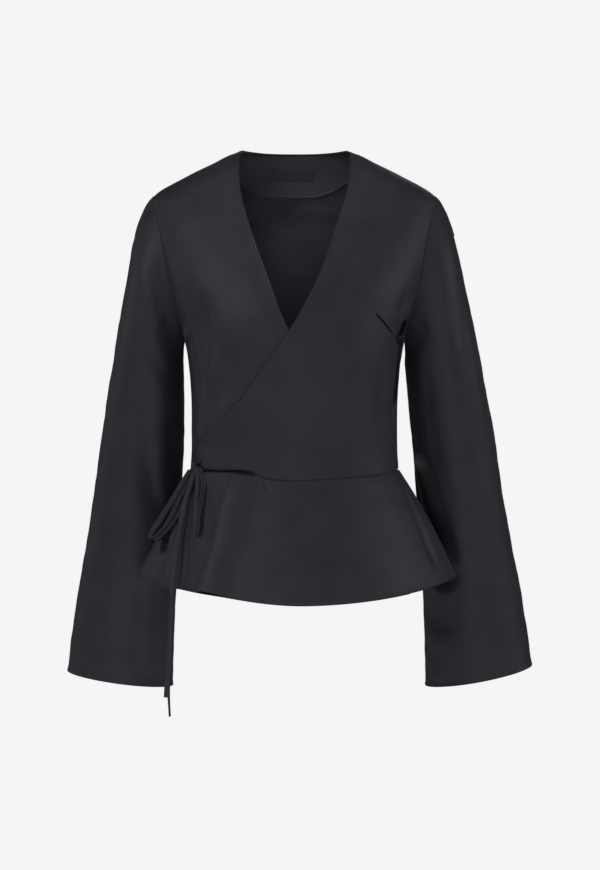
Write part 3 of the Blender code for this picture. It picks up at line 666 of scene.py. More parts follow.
class PeplumForm:
    """Outer face of the peplum, by angle and fall: 0 at the waist seam and 1 at the hem."""

    normal_step = (0.4, 0.0025)

    def __init__(self, body: BodyForm) -> None:
        """Keep the torso whose waist the peplum hangs from."""
        self.body = body

    def point(self, angle: Array, fall: Array) -> Array:
        """Point of the peplum's outer face.

        Args:
            angle: Degrees round the waist.
            fall: Share of the way to the hem.

        Returns:
            Points with a last axis of three.
        """
        angle, fall = np.broadcast_arrays(np.asarray(angle, float), np.asarray(fall, float))
        turn = np.radians(angle)
        sine, cosine = np.sin(turn), np.cos(turn)
        reach = np.abs(cosine) ** HEM_CORNER
        hem_y = np.where(cosine > 0, -HEM_FRONT * reach, HEM_BACK * reach) - HEM_TIP_FORWARD
        side_fall = np.where(cosine > 0, FRONT_HEM_FALL, BACK_HEM_FALL)
        hem_z = -SIDE_HEM_DROP - side_fall * np.abs(cosine) ** HEM_FALL_CORNER
        hem_z = hem_z + HEM_RISE * hump(angle, HEM_RISE_ANGLE, HEM_RISE_HALF_WIDTH)
        hem = np.stack([HEM_CENTRE + HEM_HALF_WIDTH * sine, hem_y, hem_z], axis=-1)
        waist = self.body.point(angle, look_up(WAIST_SEAM, "drop", angle))
        bow = (PEPLUM_BOW + PEPLUM_SIDE_BOW * sine) * fall * (1 - fall)
        spread = (fall + bow)[..., None]
        point = waist + (hem - waist) * np.concatenate([spread, spread, fall[..., None]], axis=-1)
        outward = np.stack([sine, -cosine, 0 * sine], axis=-1)
        grown = np.maximum(fall, 0) ** FLUTE_GROWTH
        for flute in FLUTES:
            wave = hump(angle, flute.angle, flute.half_width)
            point = point + outward * (flute.depth * wave * grown)[..., None]
        return point


def normals_of(form: BodyForm | PeplumForm, first: Array, second: Array) -> Array:
    """Outward unit normals of a form.

    Args:
        form: The form.
        first: The first of the two values that give a point of it.
        second: The other value.

    Returns:
        A normal for each point.
    """
    turn, down = form.normal_step
    along = form.point(first + turn, second) - form.point(first - turn, second)
    below = form.point(first, second + down) - form.point(first, second - down)
    return unit(np.cross(below, along))


def solve_angle(inside: Callable[[Array], Array], low: Array, high: Array) -> Array:
    """Angle at which a test turns from true to false, by halving.

    Args:
        inside: Test that is true below the angle sought.
        low: Lowest angles.
        high: Highest angles.

    Returns:
        The angles found.
    """
    for _ in range(HALVINGS):
        middle = (low + high) / 2
        below = inside(middle)
        low, high = np.where(below, middle, low), np.where(below, high, middle)
    return (low + high) / 2


def angle_for_x(body: BodyForm, drop: Array, across: Array) -> Array:
    """Angle on the torso's front at which it is a distance across from the middle."""
    return solve_angle(lambda angle: body.point(angle, drop)[..., 0] <= across,
                       -90.0 + 0 * drop, 90.0 + 0 * drop)


def armhole(body: BodyForm, turn: Array, front: bool) -> Array:
    """Places of the wearer's left armhole.

    Args:
        body: The torso's form.
        turn: 0 at the shoulder to 180 at the underarm, in degrees.
        front: The front half of the armhole, or the back one.

    Returns:
        (angle, drop) for each turn.
    """
    turn = np.radians(turn)
    drop = SHOULDER_DROP + (UNDERARM_DROP - SHOULDER_DROP) * (1 - np.cos(turn)) / 2
    power = np.where(turn < math.pi / 2, ARMHOLE_CORNER, 1.0)
    reach = (ARMHOLE_FRONT if front else ARMHOLE_BACK) * np.sin(turn) ** power

    def nearer(angle: Array) -> Array:
        """True where the torso still lies further from the side than the armhole does."""
        place = body.point(angle if front else 180 - angle, drop)
        return np.abs(place[..., 1]) > reach

    angle = solve_angle(nearer, 0 * drop, 90.0 + 0 * drop)
    angle = np.where(np.sin(turn) < 1e-6, 90.0, angle)
    return np.stack([angle if front else 180 - angle, drop], axis=-1)


# ---------------------------------------------------------------- finishes

SHADER = "Principled BSDF"
POLYESTER_IOR = 1.52       # thin dyed fibre, a little under the bulk plastic's 1.57
VINYL_IOR = 1.5
WAVE_BAND = 0.314          # width of a band of Blender's wave texture at a scale of 1


def linear(value: str) -> tuple[float, float, float, float]:
    """Linear colour of an sRGB hex value.

    Args:
        value: The value, such as "2a2b2e".

    Returns:
        Red, green, blue and an alpha of 1.
    """
    parts = [int(value[index:index + 2], 16) / 255 for index in (0, 2, 4)]
    red, green, blue = (part / 12.92 if part <= 0.04045 else ((part + 0.055) / 1.055) ** 2.4
                        for part in parts)
    return red, green, blue, 1.0


def add_node(tree: bpy.types.NodeTree, kind: str, settings: dict | None = None,
             links: dict | None = None) -> bpy.types.Node:
    """Add one shader node with its settings and links.

    Args:
        tree: The node tree it goes into.
        kind: Blender's name of the node type.
        settings: Values of its properties, or of its inputs where no property has that name.
        links: For an input's name or number, the output socket that feeds it.

    Returns:
        The new node.
    """
    node = tree.nodes.new(kind)
    for name, value in (settings or {}).items():
        if isinstance(name, str) and hasattr(node, name):
            setattr(node, name, value)
        else:
            node.inputs[name].default_value = value
    for name, socket in (links or {}).items():
        tree.links.new(socket, node.inputs[name])
    return node


def new_material(name: str, ior: float, roughness: float) -> bpy.types.Material:
    """A material with its index of refraction and its roughness set.

    Args:
        name: Its name.
        ior: Index of refraction of its surface.
        roughness: Roughness of its surface.

    Returns:
        The new material, whose shader is the node SHADER.
    """
    material = bpy.data.materials.new(name)
    material.use_nodes = True
    shader = material.node_tree.nodes[SHADER]
    shader.inputs["IOR"].default_value = ior
    shader.inputs["Roughness"].default_value = roughness
    return material


@dataclass(frozen=True)
class SatinBackedCrepe:
    """Polyester crepe with a satin back, woven and piece-dyed black.

    The twisted crepe yarn gives a fine pebble that scatters light into a broad, soft gloss, and
    loose fibre gives a faint cool sheen at the edges.
    """

    name: str = "satin_backed_crepe"
    colour: str = "26282d"
    colour_light: str = "2c2f34"
    roughness: float = 0.57
    sheen: float = 0.06
    pebble_mm: float = 1.6     # about 0.5 in real crepe, drawn coarser so that it shows
    pebble_height_mm: float = 0.035
    pebble_tone: float = 0.35  # how much the pebble changes the tone, beside the drift
    drift_mm: float = 38.0     # slow change of tone over the cloth
    drift_roughness: float = 0.035
    specular: float = 0.4      # dyed fibre shades part of its own gloss
    sheen_roughness: float = 0.42
    sheen_tint: str = "c9ced8"

    def material(self) -> bpy.types.Material:
        """The finish as a Blender material.

        Returns:
            The new material.
        """
        material = new_material(self.name, POLYESTER_IOR, self.roughness)
        tree = material.node_tree
        shader = tree.nodes[SHADER]
        shader.inputs["Specular IOR Level"].default_value = self.specular
        shader.inputs["Sheen Weight"].default_value = self.sheen
        shader.inputs["Sheen Roughness"].default_value = self.sheen_roughness
        shader.inputs["Sheen Tint"].default_value = linear(self.sheen_tint)
        place = add_node(tree, "ShaderNodeTexCoord").outputs["Object"]
        drift = add_node(tree, "ShaderNodeTexNoise",
                         {"Scale": 1 / (self.drift_mm * MM), "Detail": 2.0, "Roughness": 0.5},
                         {"Vector": place})
        pebble = add_node(tree, "ShaderNodeTexNoise",
                          {"Scale": 1 / (self.pebble_mm * MM), "Detail": 3.0,
                           "Roughness": 0.62}, {"Vector": place})
        blend = add_node(tree, "ShaderNodeMath",
                         {"operation": "MULTIPLY_ADD", 1: self.pebble_tone},
                         {0: pebble.outputs["Fac"], 2: drift.outputs["Fac"]})
        share = add_node(tree, "ShaderNodeMapRange",
                         {"From Min": 0.45, "From Max": 0.9}, {"Value": blend.outputs[0]})
        colour = add_node(tree, "ShaderNodeMix",
                          {"data_type": "RGBA", 6: linear(self.colour),
                           7: linear(self.colour_light)}, {0: share.outputs[0]})
        tree.links.new(colour.outputs[2], shader.inputs["Base Color"])
        rough = add_node(tree, "ShaderNodeMapRange",
                         {"From Min": 0.3, "From Max": 0.7,
                          "To Min": self.roughness - self.drift_roughness,
                          "To Max": self.roughness + self.drift_roughness},
                         {"Value": drift.outputs["Fac"]})
        tree.links.new(rough.outputs[0], shader.inputs["Roughness"])
        bump = add_node(tree, "ShaderNodeBump",
                        {"Strength": 1.0, "Distance": self.pebble_height_mm * MM},
                        {"Height": pebble.outputs["Fac"]})
        tree.links.new(bump.outputs[0], shader.inputs["Normal"])
        return material


@dataclass(frozen=True)
class SatinReversePaintedLight:
    """The satin side of the same cloth: floats of untwisted polyester yarn, smooth and dense.

    Its colour is painted light: a lighter grey-black than the crepe side, standing for more light
    on the inside than the lamps give. It is a little silkier, without the crepe's pebble, and it
    shows on the inside; a still lighter copy, more painted light, covers the neck facing.
    """

    name: str = "satin_reverse_painted_light"
    # painted light: lighter than the crepe so that the inside reads as more lit than the lamps make
    # it
    colour: str = "3c3e44"
    roughness: float = 0.5
    float_mm: float = 1.2        # about 0.3 in real satin, drawn coarser so that it shows
    float_stretch: float = 0.22  # across its length, as a share of along it
    float_height_mm: float = 0.02

    def material(self) -> bpy.types.Material:
        """The finish as a Blender material.

        Returns:
            The new material.
        """
        material = new_material(self.name, POLYESTER_IOR, self.roughness)
        tree = material.node_tree
        shader = tree.nodes[SHADER]
        shader.inputs["Base Color"].default_value = linear(self.colour)
        place = add_node(tree, "ShaderNodeTexCoord").outputs["Object"]
        stretch = add_node(tree, "ShaderNodeMapping", {"Scale": (1.0, 1.0, self.float_stretch)},
                           {"Vector": place})
        floats = add_node(tree, "ShaderNodeTexNoise",
                          {"Scale": 1 / (self.float_mm * MM), "Detail": 2.0},
                          {"Vector": stretch.outputs[0]})
        bump = add_node(tree, "ShaderNodeBump",
                        {"Strength": 1.0, "Distance": self.float_height_mm * MM},
                        {"Height": floats.outputs["Fac"]})
        tree.links.new(bump.outputs[0], shader.inputs["Normal"])
        return material


@dataclass(frozen=True)
class WovenTape:
    """Black damask label tape, densely woven of fine flat polyester yarn.

    It gives the eye a smooth dark grey strip with a low gloss and fine crosswise ribs.
    """

    name: str = "woven_label_tape"
    colour: str = "3d3f44"
    roughness: float = 0.42
    ior: float = 1.5
    rib_mm: float = 0.9  # about 0.3 in real tape, drawn coarser so that it shows
    rib_height_mm: float = 0.05

    def material(self) -> bpy.types.Material:
        """The finish as a Blender material.

        Returns:
            The new material.
        """
        material = new_material(self.name, self.ior, self.roughness)
        tree = material.node_tree
        shader = tree.nodes[SHADER]
        shader.inputs["Base Color"].default_value = linear(self.colour)
        place = add_node(tree, "ShaderNodeTexCoord").outputs["Object"]
        ribs = add_node(tree, "ShaderNodeTexWave",
                        {"bands_direction": "Z", "Scale": WAVE_BAND / (self.rib_mm * MM),
                         "Distortion": 0.4}, {"Vector": place})
        bump = add_node(tree, "ShaderNodeBump",
                        {"Strength": 1.0, "Distance": self.rib_height_mm * MM},
                        {"Height": ribs.outputs["Fac"]})
        tree.links.new(bump.outputs[0], shader.inputs["Normal"])
        return material


# ---------------------------------------------------------------- cloth

FOLD_DETAIL = 9            # points worked out between two of a fold's own


class Edge(Enum):
    """Sides of a grid of cloth, as the axis that leads away from it and its end."""

    TOP = (0, 0)
    BOTTOM = (0, -1)
    START = (1, 0)
    END = (1, -1)


@dataclass
class Cloth:
    """One cut piece as a grid of points on its outer face, and how its edges are finished."""

    name: str
    points: Array
    normals: Array
    thickness: float = 0.9
    closed: bool = False        # columns run right round a tube
    seams: tuple[Edge, ...] = ()
    seam_sink: float = 1.5      # how deep a seamed edge is rolled in
    seam_roll: float = 2.4      # distance over which it rolls
    seam_power: int = 3         # over 1 keeps the roll close to the edge
    hems: tuple[Edge, ...] = ()
    hem_depth: float = 7.0      # where a turned edge's ridge shows
    hem_height: float = 0.3
    hem_ramp: float = 1.6       # distance over which the ridge rises
    hem_layer: float = 0.7      # thickness that the turned cloth adds
    layer_ramp: float = 2.0
    edge_roll: float = 0.6      # how proud a turned edge stands
    roll_place: float = 0.9     # of its crest, from the edge
    roll_half_width: float = 2.2
    rim_bulge: float = 0.32     # of a rim, as a share of the thickness
    still_reach: float = 14.0   # from a seam, within which broad folds die out
    still_share: float = 1.4    # the same for narrow ones, by their half width
    crowd_reach: float = 9.0    # from a crisp fold, within which points crowd
    crowd_power: float = 1.7
    crowd_fade: float = 0.08    # share of the fold over which crowding fades
    crisp_power: float = 1.3    # over 1 makes a crisp fold's sides hollow
    facing_limit: float = 0.05  # least part of a normal that looks a fold's way

    def away_from(self, edge: Edge) -> Array:
        """Distance of each point from an edge, along the grid.

        Args:
            edge: The edge.

        Returns:
            Millimetres for each point.
        """
        axis, end = edge.value
        steps = np.linalg.norm(np.diff(self.points, axis=axis), axis=-1)
        if end:
            steps = np.flip(steps, axis)
        total = np.cumsum(steps, axis=axis)
        zero = np.zeros_like(np.take(total, [0], axis=axis))
        total = np.concatenate([zero, total], axis=axis)
        return np.flip(total, axis) if end else total

    def fold(self, folds: Sequence[Fold], ripples: Sequence[Ripple] = RIPPLES) -> None:
        """Raise the folds and the all-over unevenness out of the grid.

        Args:
            folds: Folds, listed one by one.
            ripples: Soft waves over the whole piece.
        """
        for fold in folds:
            if fold.crisp:
                self.crowd(fold)
        near = np.full(self.points.shape[:2], np.inf)
        for edge in self.seams:
            near = np.minimum(near, self.away_from(edge))
        lift = np.zeros(self.points.shape[:2])
        for fold in folds:
            reach = min(self.still_reach, self.still_share * fold.half_width)
            lift += self.fold_lift(fold) * ease(near / reach)
        wave = np.zeros(self.points.shape[:2])
        for number, ripple in enumerate(ripples):
            wave += ripple.rise(self.points, number)
        lift += wave * ease(near / self.still_reach)
        self.points = self.points + self.normals * lift[..., None]

    def fold_route(self, fold: Fold) -> Array:
        """Where a fold's middle lies on the cloth.

        Args:
            fold: The fold.

        Returns:
            Points of its middle, or none where no cloth looks its way.
        """
        across, outward, sign = fold.facing.value
        flat = self.points[self.normals[..., outward] * sign > self.facing_limit]
        if not len(flat):
            return flat
        route = []
        for place in fold.route:
            gap = (flat[:, across] - place[0]) ** 2 + (flat[:, 2] - place[1]) ** 2
            route.append(flat[np.argmin(gap)])
        route = np.array(route)
        route[:, across] = [place[0] for place in fold.route]
        route[:, 2] = [place[1] for place in fold.route]
        return resample(route, FOLD_DETAIL)

    def crowd(self, fold: Fold) -> None:
        """Draw the grid's points closer together beside a crisp fold.

        Args:
            fold: The fold.
        """
        route = self.fold_route(fold)
        if not len(route):
            return
        along, offset, _ = distance_to(self.points, self.normals, route)
        distance = np.linalg.norm(offset, axis=-1)
        share = np.clip(distance / self.crowd_reach, 1e-3, 1)
        shift = offset * (share ** (self.crowd_power - 1) - 1)[..., None]
        shift = shift - self.normals * (shift * self.normals).sum(-1, keepdims=True)
        fade = ease(along / self.crowd_fade) * ease((1 - along) / self.crowd_fade)
        self.points = self.points + shift * fade[..., None]

    def fold_lift(self, fold: Fold) -> Array:
        """How far one fold raises each point.

        Args:
            fold: The fold.

        Returns:
            Millimetres for each point, below 0 in a trough.
        """
        route = self.fold_route(fold)
        if not len(route):
            return np.zeros(self.points.shape[:2])
        along, offset, side = distance_to(self.points, self.normals, route)
        width = fold.half_width * (1 + fold.skew * np.sign(side))
        share = np.clip(np.linalg.norm(offset, axis=-1) / width, 0, 1)
        shape = (1 - share) ** self.crisp_power if fold.crisp else hump(share, 0.0, 1.0)
        taper = ease(along / fold.taper) * ease((1 - along) / fold.taper)
        return fold.height * shape * taper

    def finish_edges(self) -> None:
        """Roll the seamed edges in, raise the ridge of the turned ones and press the hollows."""
        lift = np.zeros(self.points.shape[:2])
        for edge in self.seams:
            near = 1 - np.clip(self.away_from(edge) / self.seam_roll, 0, 1)
            lift -= self.seam_sink * near ** self.seam_power
        for edge in self.hems:
            away = self.away_from(edge)
            lift += self.hem_height * ease((self.hem_depth - away) / self.hem_ramp)
            lift += self.edge_roll * hump(away, self.roll_place, self.roll_half_width)
        self.points = self.points + self.normals * lift[..., None]
        for hollow in HOLLOWS:
            _, offset, _ = distance_to(self.points, self.normals, np.array(hollow.route, float))
            near = hump(np.linalg.norm(offset, axis=-1), 0.0, hollow.half_width)
            self.points = self.points + near[..., None] * np.array(hollow.push)

    def shell(self, finish: bpy.types.Material,
              reverse: bpy.types.Material | None = None) -> bpy.types.Object:
        """A closed thin shell of the cloth, with rounded rims.

        Args:
            finish: Material of the outer face and the rims.
            reverse: Material of the inner face, if another one.

        Returns:
            The new object, in metres.
        """
        layers = np.full(self.points.shape[:2], self.thickness)
        for edge in self.hems:
            turned = self.hem_depth - self.away_from(edge)
            layers += self.hem_layer * ease(turned / self.layer_ramp)
        inner = self.points - self.normals * layers[..., None]
        middle = (self.points + inner) / 2
        rows, columns = self.points.shape[:2]
        count = rows * columns
        index = np.arange(count).reshape(rows, columns)
        outer_faces = quads(index, self.closed)
        faces = [outer_faces, np.flip(outer_faces, 1) + count]
        points = [self.points.reshape(-1, 3), inner.reshape(-1, 3)]
        start = 2 * count
        flat_middle = middle.reshape(-1, 3)
        for rim in self.rims(index):
            out = self.rim_directions(rim)
            bulge = flat_middle[rim] + out * self.thickness * self.rim_bulge
            points.append(bulge)
            ring = start + np.arange(len(rim))
            after, ring_after = np.roll(rim, -1), np.roll(ring, -1)
            faces.append(np.stack([rim, ring, ring_after, after], 1))
            faces.append(np.stack([ring, rim + count, after + count, ring_after], 1))
            start += len(rim)
        piece = mesh_piece(self.name, np.concatenate(points), np.concatenate(faces).tolist(),
                           finish)
        if reverse is not None:
            piece.data.materials.append(reverse)
            slots = np.zeros(len(piece.data.polygons), np.int32)
            slots[len(outer_faces):2 * len(outer_faces)] = 1
            piece.data.polygons.foreach_set("material_index", slots)
        return piece

    def rims(self, index: Array) -> list[Array]:
        """The cloth's free edges: one all round a flat piece, or the two ends of a tube.

        Args:
            index: Number of each point, by row and column.

        Returns:
            The numbers of the points along each.
        """
        if self.closed:
            return [index[0], index[-1][::-1]]
        return [np.concatenate([index[0], index[1:, -1], index[-1, -2::-1], index[-2:0:-1, 0]])]

    def rim_directions(self, rim: Array) -> Array:
        """Unit directions out of the cloth's edge, in its own plane.

        Args:
            rim: Numbers of the points along the edge.

        Returns:
            A direction for each of them.
        """
        place = self.points.reshape(-1, 3)
        along = unit(place[np.roll(rim, -1)] - place[np.roll(rim, 1)])
        return unit(np.cross(along, self.normals.reshape(-1, 3)[rim]))


def quads(index: Array, closed: bool) -> Array:
    """Four-cornered faces over a grid of points.

    Args:
        index: Number of each point, by row and column.
        closed: Whether the columns run right round.

    Returns:
        Four point numbers for each face.
    """
    if closed:
        index = np.concatenate([index, index[:, :1]], axis=1)
    a, b, c, d = index[:-1, :-1], index[:-1, 1:], index[1:, 1:], index[1:, :-1]
    return np.stack([a, d, c, b], axis=-1).reshape(-1, 4)


def capped_tube(index: Array) -> list[list[int]]:
    """Faces of a tube that is closed by a point in the middle of each end.

    Args:
        index: Number of each point, by row and column. The two middles take the next two.

    Returns:
        Point numbers of each face.
    """
    first, last = index[0], index[-1]
    faces = quads(index, True).tolist()
    faces += [[index.size, a, b] for a, b in zip(first, np.roll(first, -1))]
    faces += [[index.size + 1, b, a] for a, b in zip(last, np.roll(last, -1))]
    return faces


def mesh_piece(name: str, points: Array, faces: Sequence[Sequence[int]],
               finish: bpy.types.Material) -> bpy.types.Object:
    """A smooth-shaded object, its faces turned outward.

    Args:
        name: Name of the object and its mesh.
        points: Points, in millimetres.
        faces: Point numbers of each face.
        finish: Material of the faces.

    Returns:
        The new object, in metres.
    """
    mesh = bpy.data.meshes.new(name)
    mesh.from_pydata((points * MM).tolist(), [], faces)
    mesh.validate()
    mesh.shade_smooth()
    mesh.materials.append(finish)
    if signed_volume(mesh) < 0:
        mesh.flip_normals()
    return place_object(name, mesh)


def place_object(name: str, data: bpy.types.ID) -> bpy.types.Object:
    """A new object in the scene.

    Args:
        name: Its name.
        data: Its mesh, lamp or camera.

    Returns:
        The object.
    """
    made = bpy.data.objects.new(name, data)
    bpy.context.scene.collection.objects.link(made)
    return made


def signed_volume(mesh: bpy.types.Mesh) -> float:
    """Volume of a closed mesh.

    Args:
        mesh: The mesh.

    Returns:
        Cubic metres, below 0 when its faces look inward.
    """
    mesh.calc_loop_triangles()
    corners = np.zeros(len(mesh.loop_triangles) * 3, np.int32)
    mesh.loop_triangles.foreach_get("vertices", corners)
    place = np.zeros(len(mesh.vertices) * 3)
    mesh.vertices.foreach_get("co", place)
    a, b, c = np.moveaxis(place.reshape(-1, 3)[corners.reshape(-1, 3)], 1, 0)
    return float((a * np.cross(b, c)).sum()) / 6


def resample(route: Array, count: int) -> Array:
    """Points spread along a route with a smooth curve through its own.

    Args:
        route: Points the curve passes through.
        count: Points worked out between two of them.

    Returns:
        Points of the curve.
    """
    if len(route) < 3:
        share = np.linspace(0, 1, count + 1)[:, None]
        return route[0] * (1 - share) + route[-1] * share
    ahead = np.concatenate([[2 * route[0] - route[1]], route, [2 * route[-1] - route[-2]]])
    fine = []
    for index in range(len(route) - 1):
        a, b, c, d = ahead[index:index + 4]
        for t in np.linspace(0, 1, count, endpoint=False):
            fine.append(0.5 * (2 * b + (c - a) * t + (2 * a - 5 * b + 4 * c - d) * t * t
                               + (3 * b - a - 3 * c + d) * t ** 3))
    return np.array(fine + [route[-1]])


def even_steps(curve: Array, step: float) -> Array:
    """Points of a curve read off at even steps.

    Args:
        curve: Close points of the curve.
        step: Distance between the points sought, about.

    Returns:
        The points read off.
    """
    length = np.concatenate([[0], np.cumsum(np.linalg.norm(np.diff(curve, axis=0), axis=1))])
    even = np.linspace(0, length[-1], max(3, round(length[-1] / step) + 1))
    return np.stack([np.interp(even, length, curve[:, axis]) for axis in range(3)], axis=-1)


def distance_to(points: Array, normals: Array, route: Array) -> tuple[Array, Array, Array]:
    """Where points lie beside a route.

    Args:
        points: Grid of points.
        normals: Their outward normals.
        route: Points of the route.

    Returns:
        Share of the way along it, offset from its nearest point, and which side (its sign).
    """
    length = np.concatenate([[0], np.cumsum(np.linalg.norm(np.diff(route, axis=0), axis=1))])
    best = np.full(points.shape[:2], np.inf)
    along, side, nearest = np.zeros_like(best), np.zeros_like(best), np.zeros_like(points)
    for index in range(len(route) - 1):
        start, way = route[index], route[index + 1] - route[index]
        size = float(way @ way)
        share = np.clip((points - start) @ way / max(size, 1e-9), 0, 1)
        offset = points - start - share[..., None] * way
        distance = np.linalg.norm(offset, axis=-1)
        nearer = distance < best
        best = np.where(nearer, distance, best)
        nearest = np.where(nearer[..., None], offset, nearest)
        place = (length[index] + share * math.sqrt(size)) / length[-1]
        along = np.where(nearer, place, along)
        beside = (np.cross(way, normals) * offset).sum(-1)
        side = np.where(nearer, beside, side)
    return along, nearest, side


def grid_normals(points: Array, side: float) -> Array:
    """Outward unit normals of a tube's grid, whose columns run round it."""
    around = np.roll(points, -1, axis=1) - np.roll(points, 1, axis=1)
    return side * unit(np.cross(around, np.gradient(points, axis=0)))


def stand_for(piece: bpy.types.Object, slot: Slot, *nodes: str) -> None:
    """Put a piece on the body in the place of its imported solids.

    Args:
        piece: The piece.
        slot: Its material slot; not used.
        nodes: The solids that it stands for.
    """
    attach(piece, ROOT)
    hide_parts(*nodes)
    log.info("%s: %d faces", piece.name, len(piece.data.polygons))


def dress(piece: bpy.types.Object, node: str, slot: Slot = Slot.CLOTH) -> None:
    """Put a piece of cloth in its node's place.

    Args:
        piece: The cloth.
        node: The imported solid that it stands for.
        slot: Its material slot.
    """
    stand_for(piece, slot, node)


# ---------------------------------------------------------------- sub-assemblies

EDGE_DEPTH = 4.0           # of the strip of closer points that an edge is turned on
EDGE_STEP = 0.55
EDGE_ZONES = (Zone(0.0, EDGE_DEPTH, EDGE_STEP), Zone(-EDGE_DEPTH, EDGE_DEPTH, EDGE_STEP))


@dataclass
class Bodice:
    """Back, overlapping left front and underlapping right front, with shoulder and side seams."""

    body: BodyForm
    crepe: bpy.types.Material
    satin: bpy.types.Material
    step: float = 2.9           # between points of the cloth
    side_reach: float = 108.0   # finer by the side, where the dart and creases are
    side_step: float = 1.4
    arm_share: float = 0.62     # of a front's rows that end on the armhole
    tuck_depth: float = 3.9     # of the cloth that bulges over the seam by the knot
    tuck_drop: float = 4.6      # how far it hangs over the seam
    tuck_height: float = 36.0
    tuck_crest: float = 6.5
    dart_rows: Zone = Zone(190.0, 96.0, 1.6)
    tuck_rows: Zone = Zone(-30.0, 30.0, 1.6)
    spare_columns: float = 1.1  # over 1 gives the widest row closer points too
    back_side: float = 374.0    # length of the back's side, armhole included
    side_power: int = 8         # these keep a row level until near the waist,
    waist_power: int = 3        # where it comes to follow the seam
    back_waist_power: int = 6
    calm_lead: float = 4.0      # degrees short of the wrap edge at which the
    calm_ramp: float = 10.0     # underlap's folds have died out, and over which

    def side_places(self, rows: Array, front: bool) -> Array:
        """Places down the wearer's left armhole and side.

        Args:
            rows: Shares of the way down, from 0 to 1.
            front: The front half of the armhole, or the back one.

        Returns:
            (angle, drop) for each share.
        """
        arm_share = self.arm_share
        turn = np.clip(rows / arm_share, 0, 1) * 180
        arm = armhole(self.body, turn, front)
        end = float(look_up(WAIST_SEAM, "drop", 90.0))
        below = UNDERARM_DROP + (end - UNDERARM_DROP) * (rows - arm_share) / (1 - arm_share)
        drop = np.where(rows <= arm_share, arm[:, 1], below)
        return np.stack([np.where(rows <= arm_share, arm[:, 0], 90.0), drop], axis=-1)

    def front_grid(self, edge: Sequence[EdgePoint], mirrored: bool) -> Array:
        """Grid of a front, each row from its free edge to its armhole or side.

        Args:
            edge: Its free edge.
            mirrored: Whether it is the wearer's right front.

        Returns:
            (angle, drop) of each point.
        """
        body = self.body
        end_angle = angle_for_x(body, np.array(edge[-1].drop), np.array(edge[-1].across))
        end = float(look_up(WAIST_SEAM, "drop", end_angle))
        rows = paced(end, self.step, (*EDGE_ZONES, self.dart_rows, self.tuck_rows)) / end
        drops = rows * end
        across = look_up(edge, "across", drops)
        free_angles = angle_for_x(body, drops, across)
        free_angles[0] = math.copysign(90.0, across[0])
        free = np.stack([free_angles, drops], axis=-1)
        side = self.side_places(rows, True)
        if mirrored:
            side[:, 0] = -side[:, 0]
            stretch = float(look_up(WAIST_SEAM, "drop", -90.0)) / side[-1, 1] - 1
            side[:, 1] *= 1 + rows ** self.side_power * stretch
        shares = self.column_shares(free, side, self.side_reach)
        grid = free[:, None] * (1 - shares[..., None]) + side[:, None] * shares[..., None]
        waist = look_up(WAIST_SEAM, "drop", grid[-1, :, 0]) - grid[-1, :, 1]
        grid[..., 1] += waist[None, :] * (rows[:, None] ** self.waist_power)
        return grid

    def column_shares(self, start: Array, end: Array, fine: float) -> Array:
        """Where each row's points lie between its two ends.

        Args:
            start: (angle, drop) of each row's first point.
            end: (angle, drop) of each row's last point.
            fine: Distance from the last point within which the points are closer.

        Returns:
            For each row, rising shares of the way from its first to its last point.
        """
        widths = np.linalg.norm(self.body.point(*start.T) - self.body.point(*end.T), axis=-1)
        edge = paced(EDGE_DEPTH, EDGE_STEP, ())
        side = paced(fine, self.side_step, ())[1:] if fine else np.zeros(0)
        count = math.ceil(float(widths.max()) * self.spare_columns / self.step)
        rows = []
        for width in widths:
            far = width - edge[-1] - fine
            middle = np.linspace(edge[-1], far, count + 1)[1:-1]
            rows.append(np.concatenate([edge, middle, [far], far + side,
                                        width - edge[-2::-1]]) / width)
        return np.array(rows)

    def cloth(self, name: str, grid: Array, lift: Array, seams: tuple[Edge, ...],
              hems: tuple[Edge, ...]) -> Cloth:
        """A piece of cloth over the torso.

        Args:
            name: Its name.
            grid: (angle, drop) of each point.
            lift: How far each point stands off the form.
            seams: Its seamed edges.
            hems: Its turned edges.

        Returns:
            The cloth, still without folds.
        """
        across = normals_of(self.body, grid[..., 0], grid[..., 1])
        face = self.body.point(grid[..., 0], grid[..., 1]) + across * lift[..., None]
        return Cloth(name, face, across, seams=seams, hems=hems)

    def overhang(self, cloth: Cloth, grid: Array) -> None:
        """Let the overlap's cloth bulge and hang over the waist seam beside the knot.

        Args:
            cloth: The overlap's cloth.
            grid: (angle, drop) of each of its points.
        """
        angle, drop = grid[..., 0], grid[..., 1]
        above = look_up(WAIST_SEAM, "drop", angle) - drop
        run = tuck_run(angle)
        rise = ease(above / self.tuck_crest) * ease(
            (self.tuck_height - above) / (self.tuck_height - self.tuck_crest))
        hang = hump(above, self.tuck_crest, self.tuck_crest)
        cloth.points = cloth.points + cloth.normals * (self.tuck_depth * run * rise)[..., None]
        cloth.points[..., 2] -= self.tuck_drop * run * hang

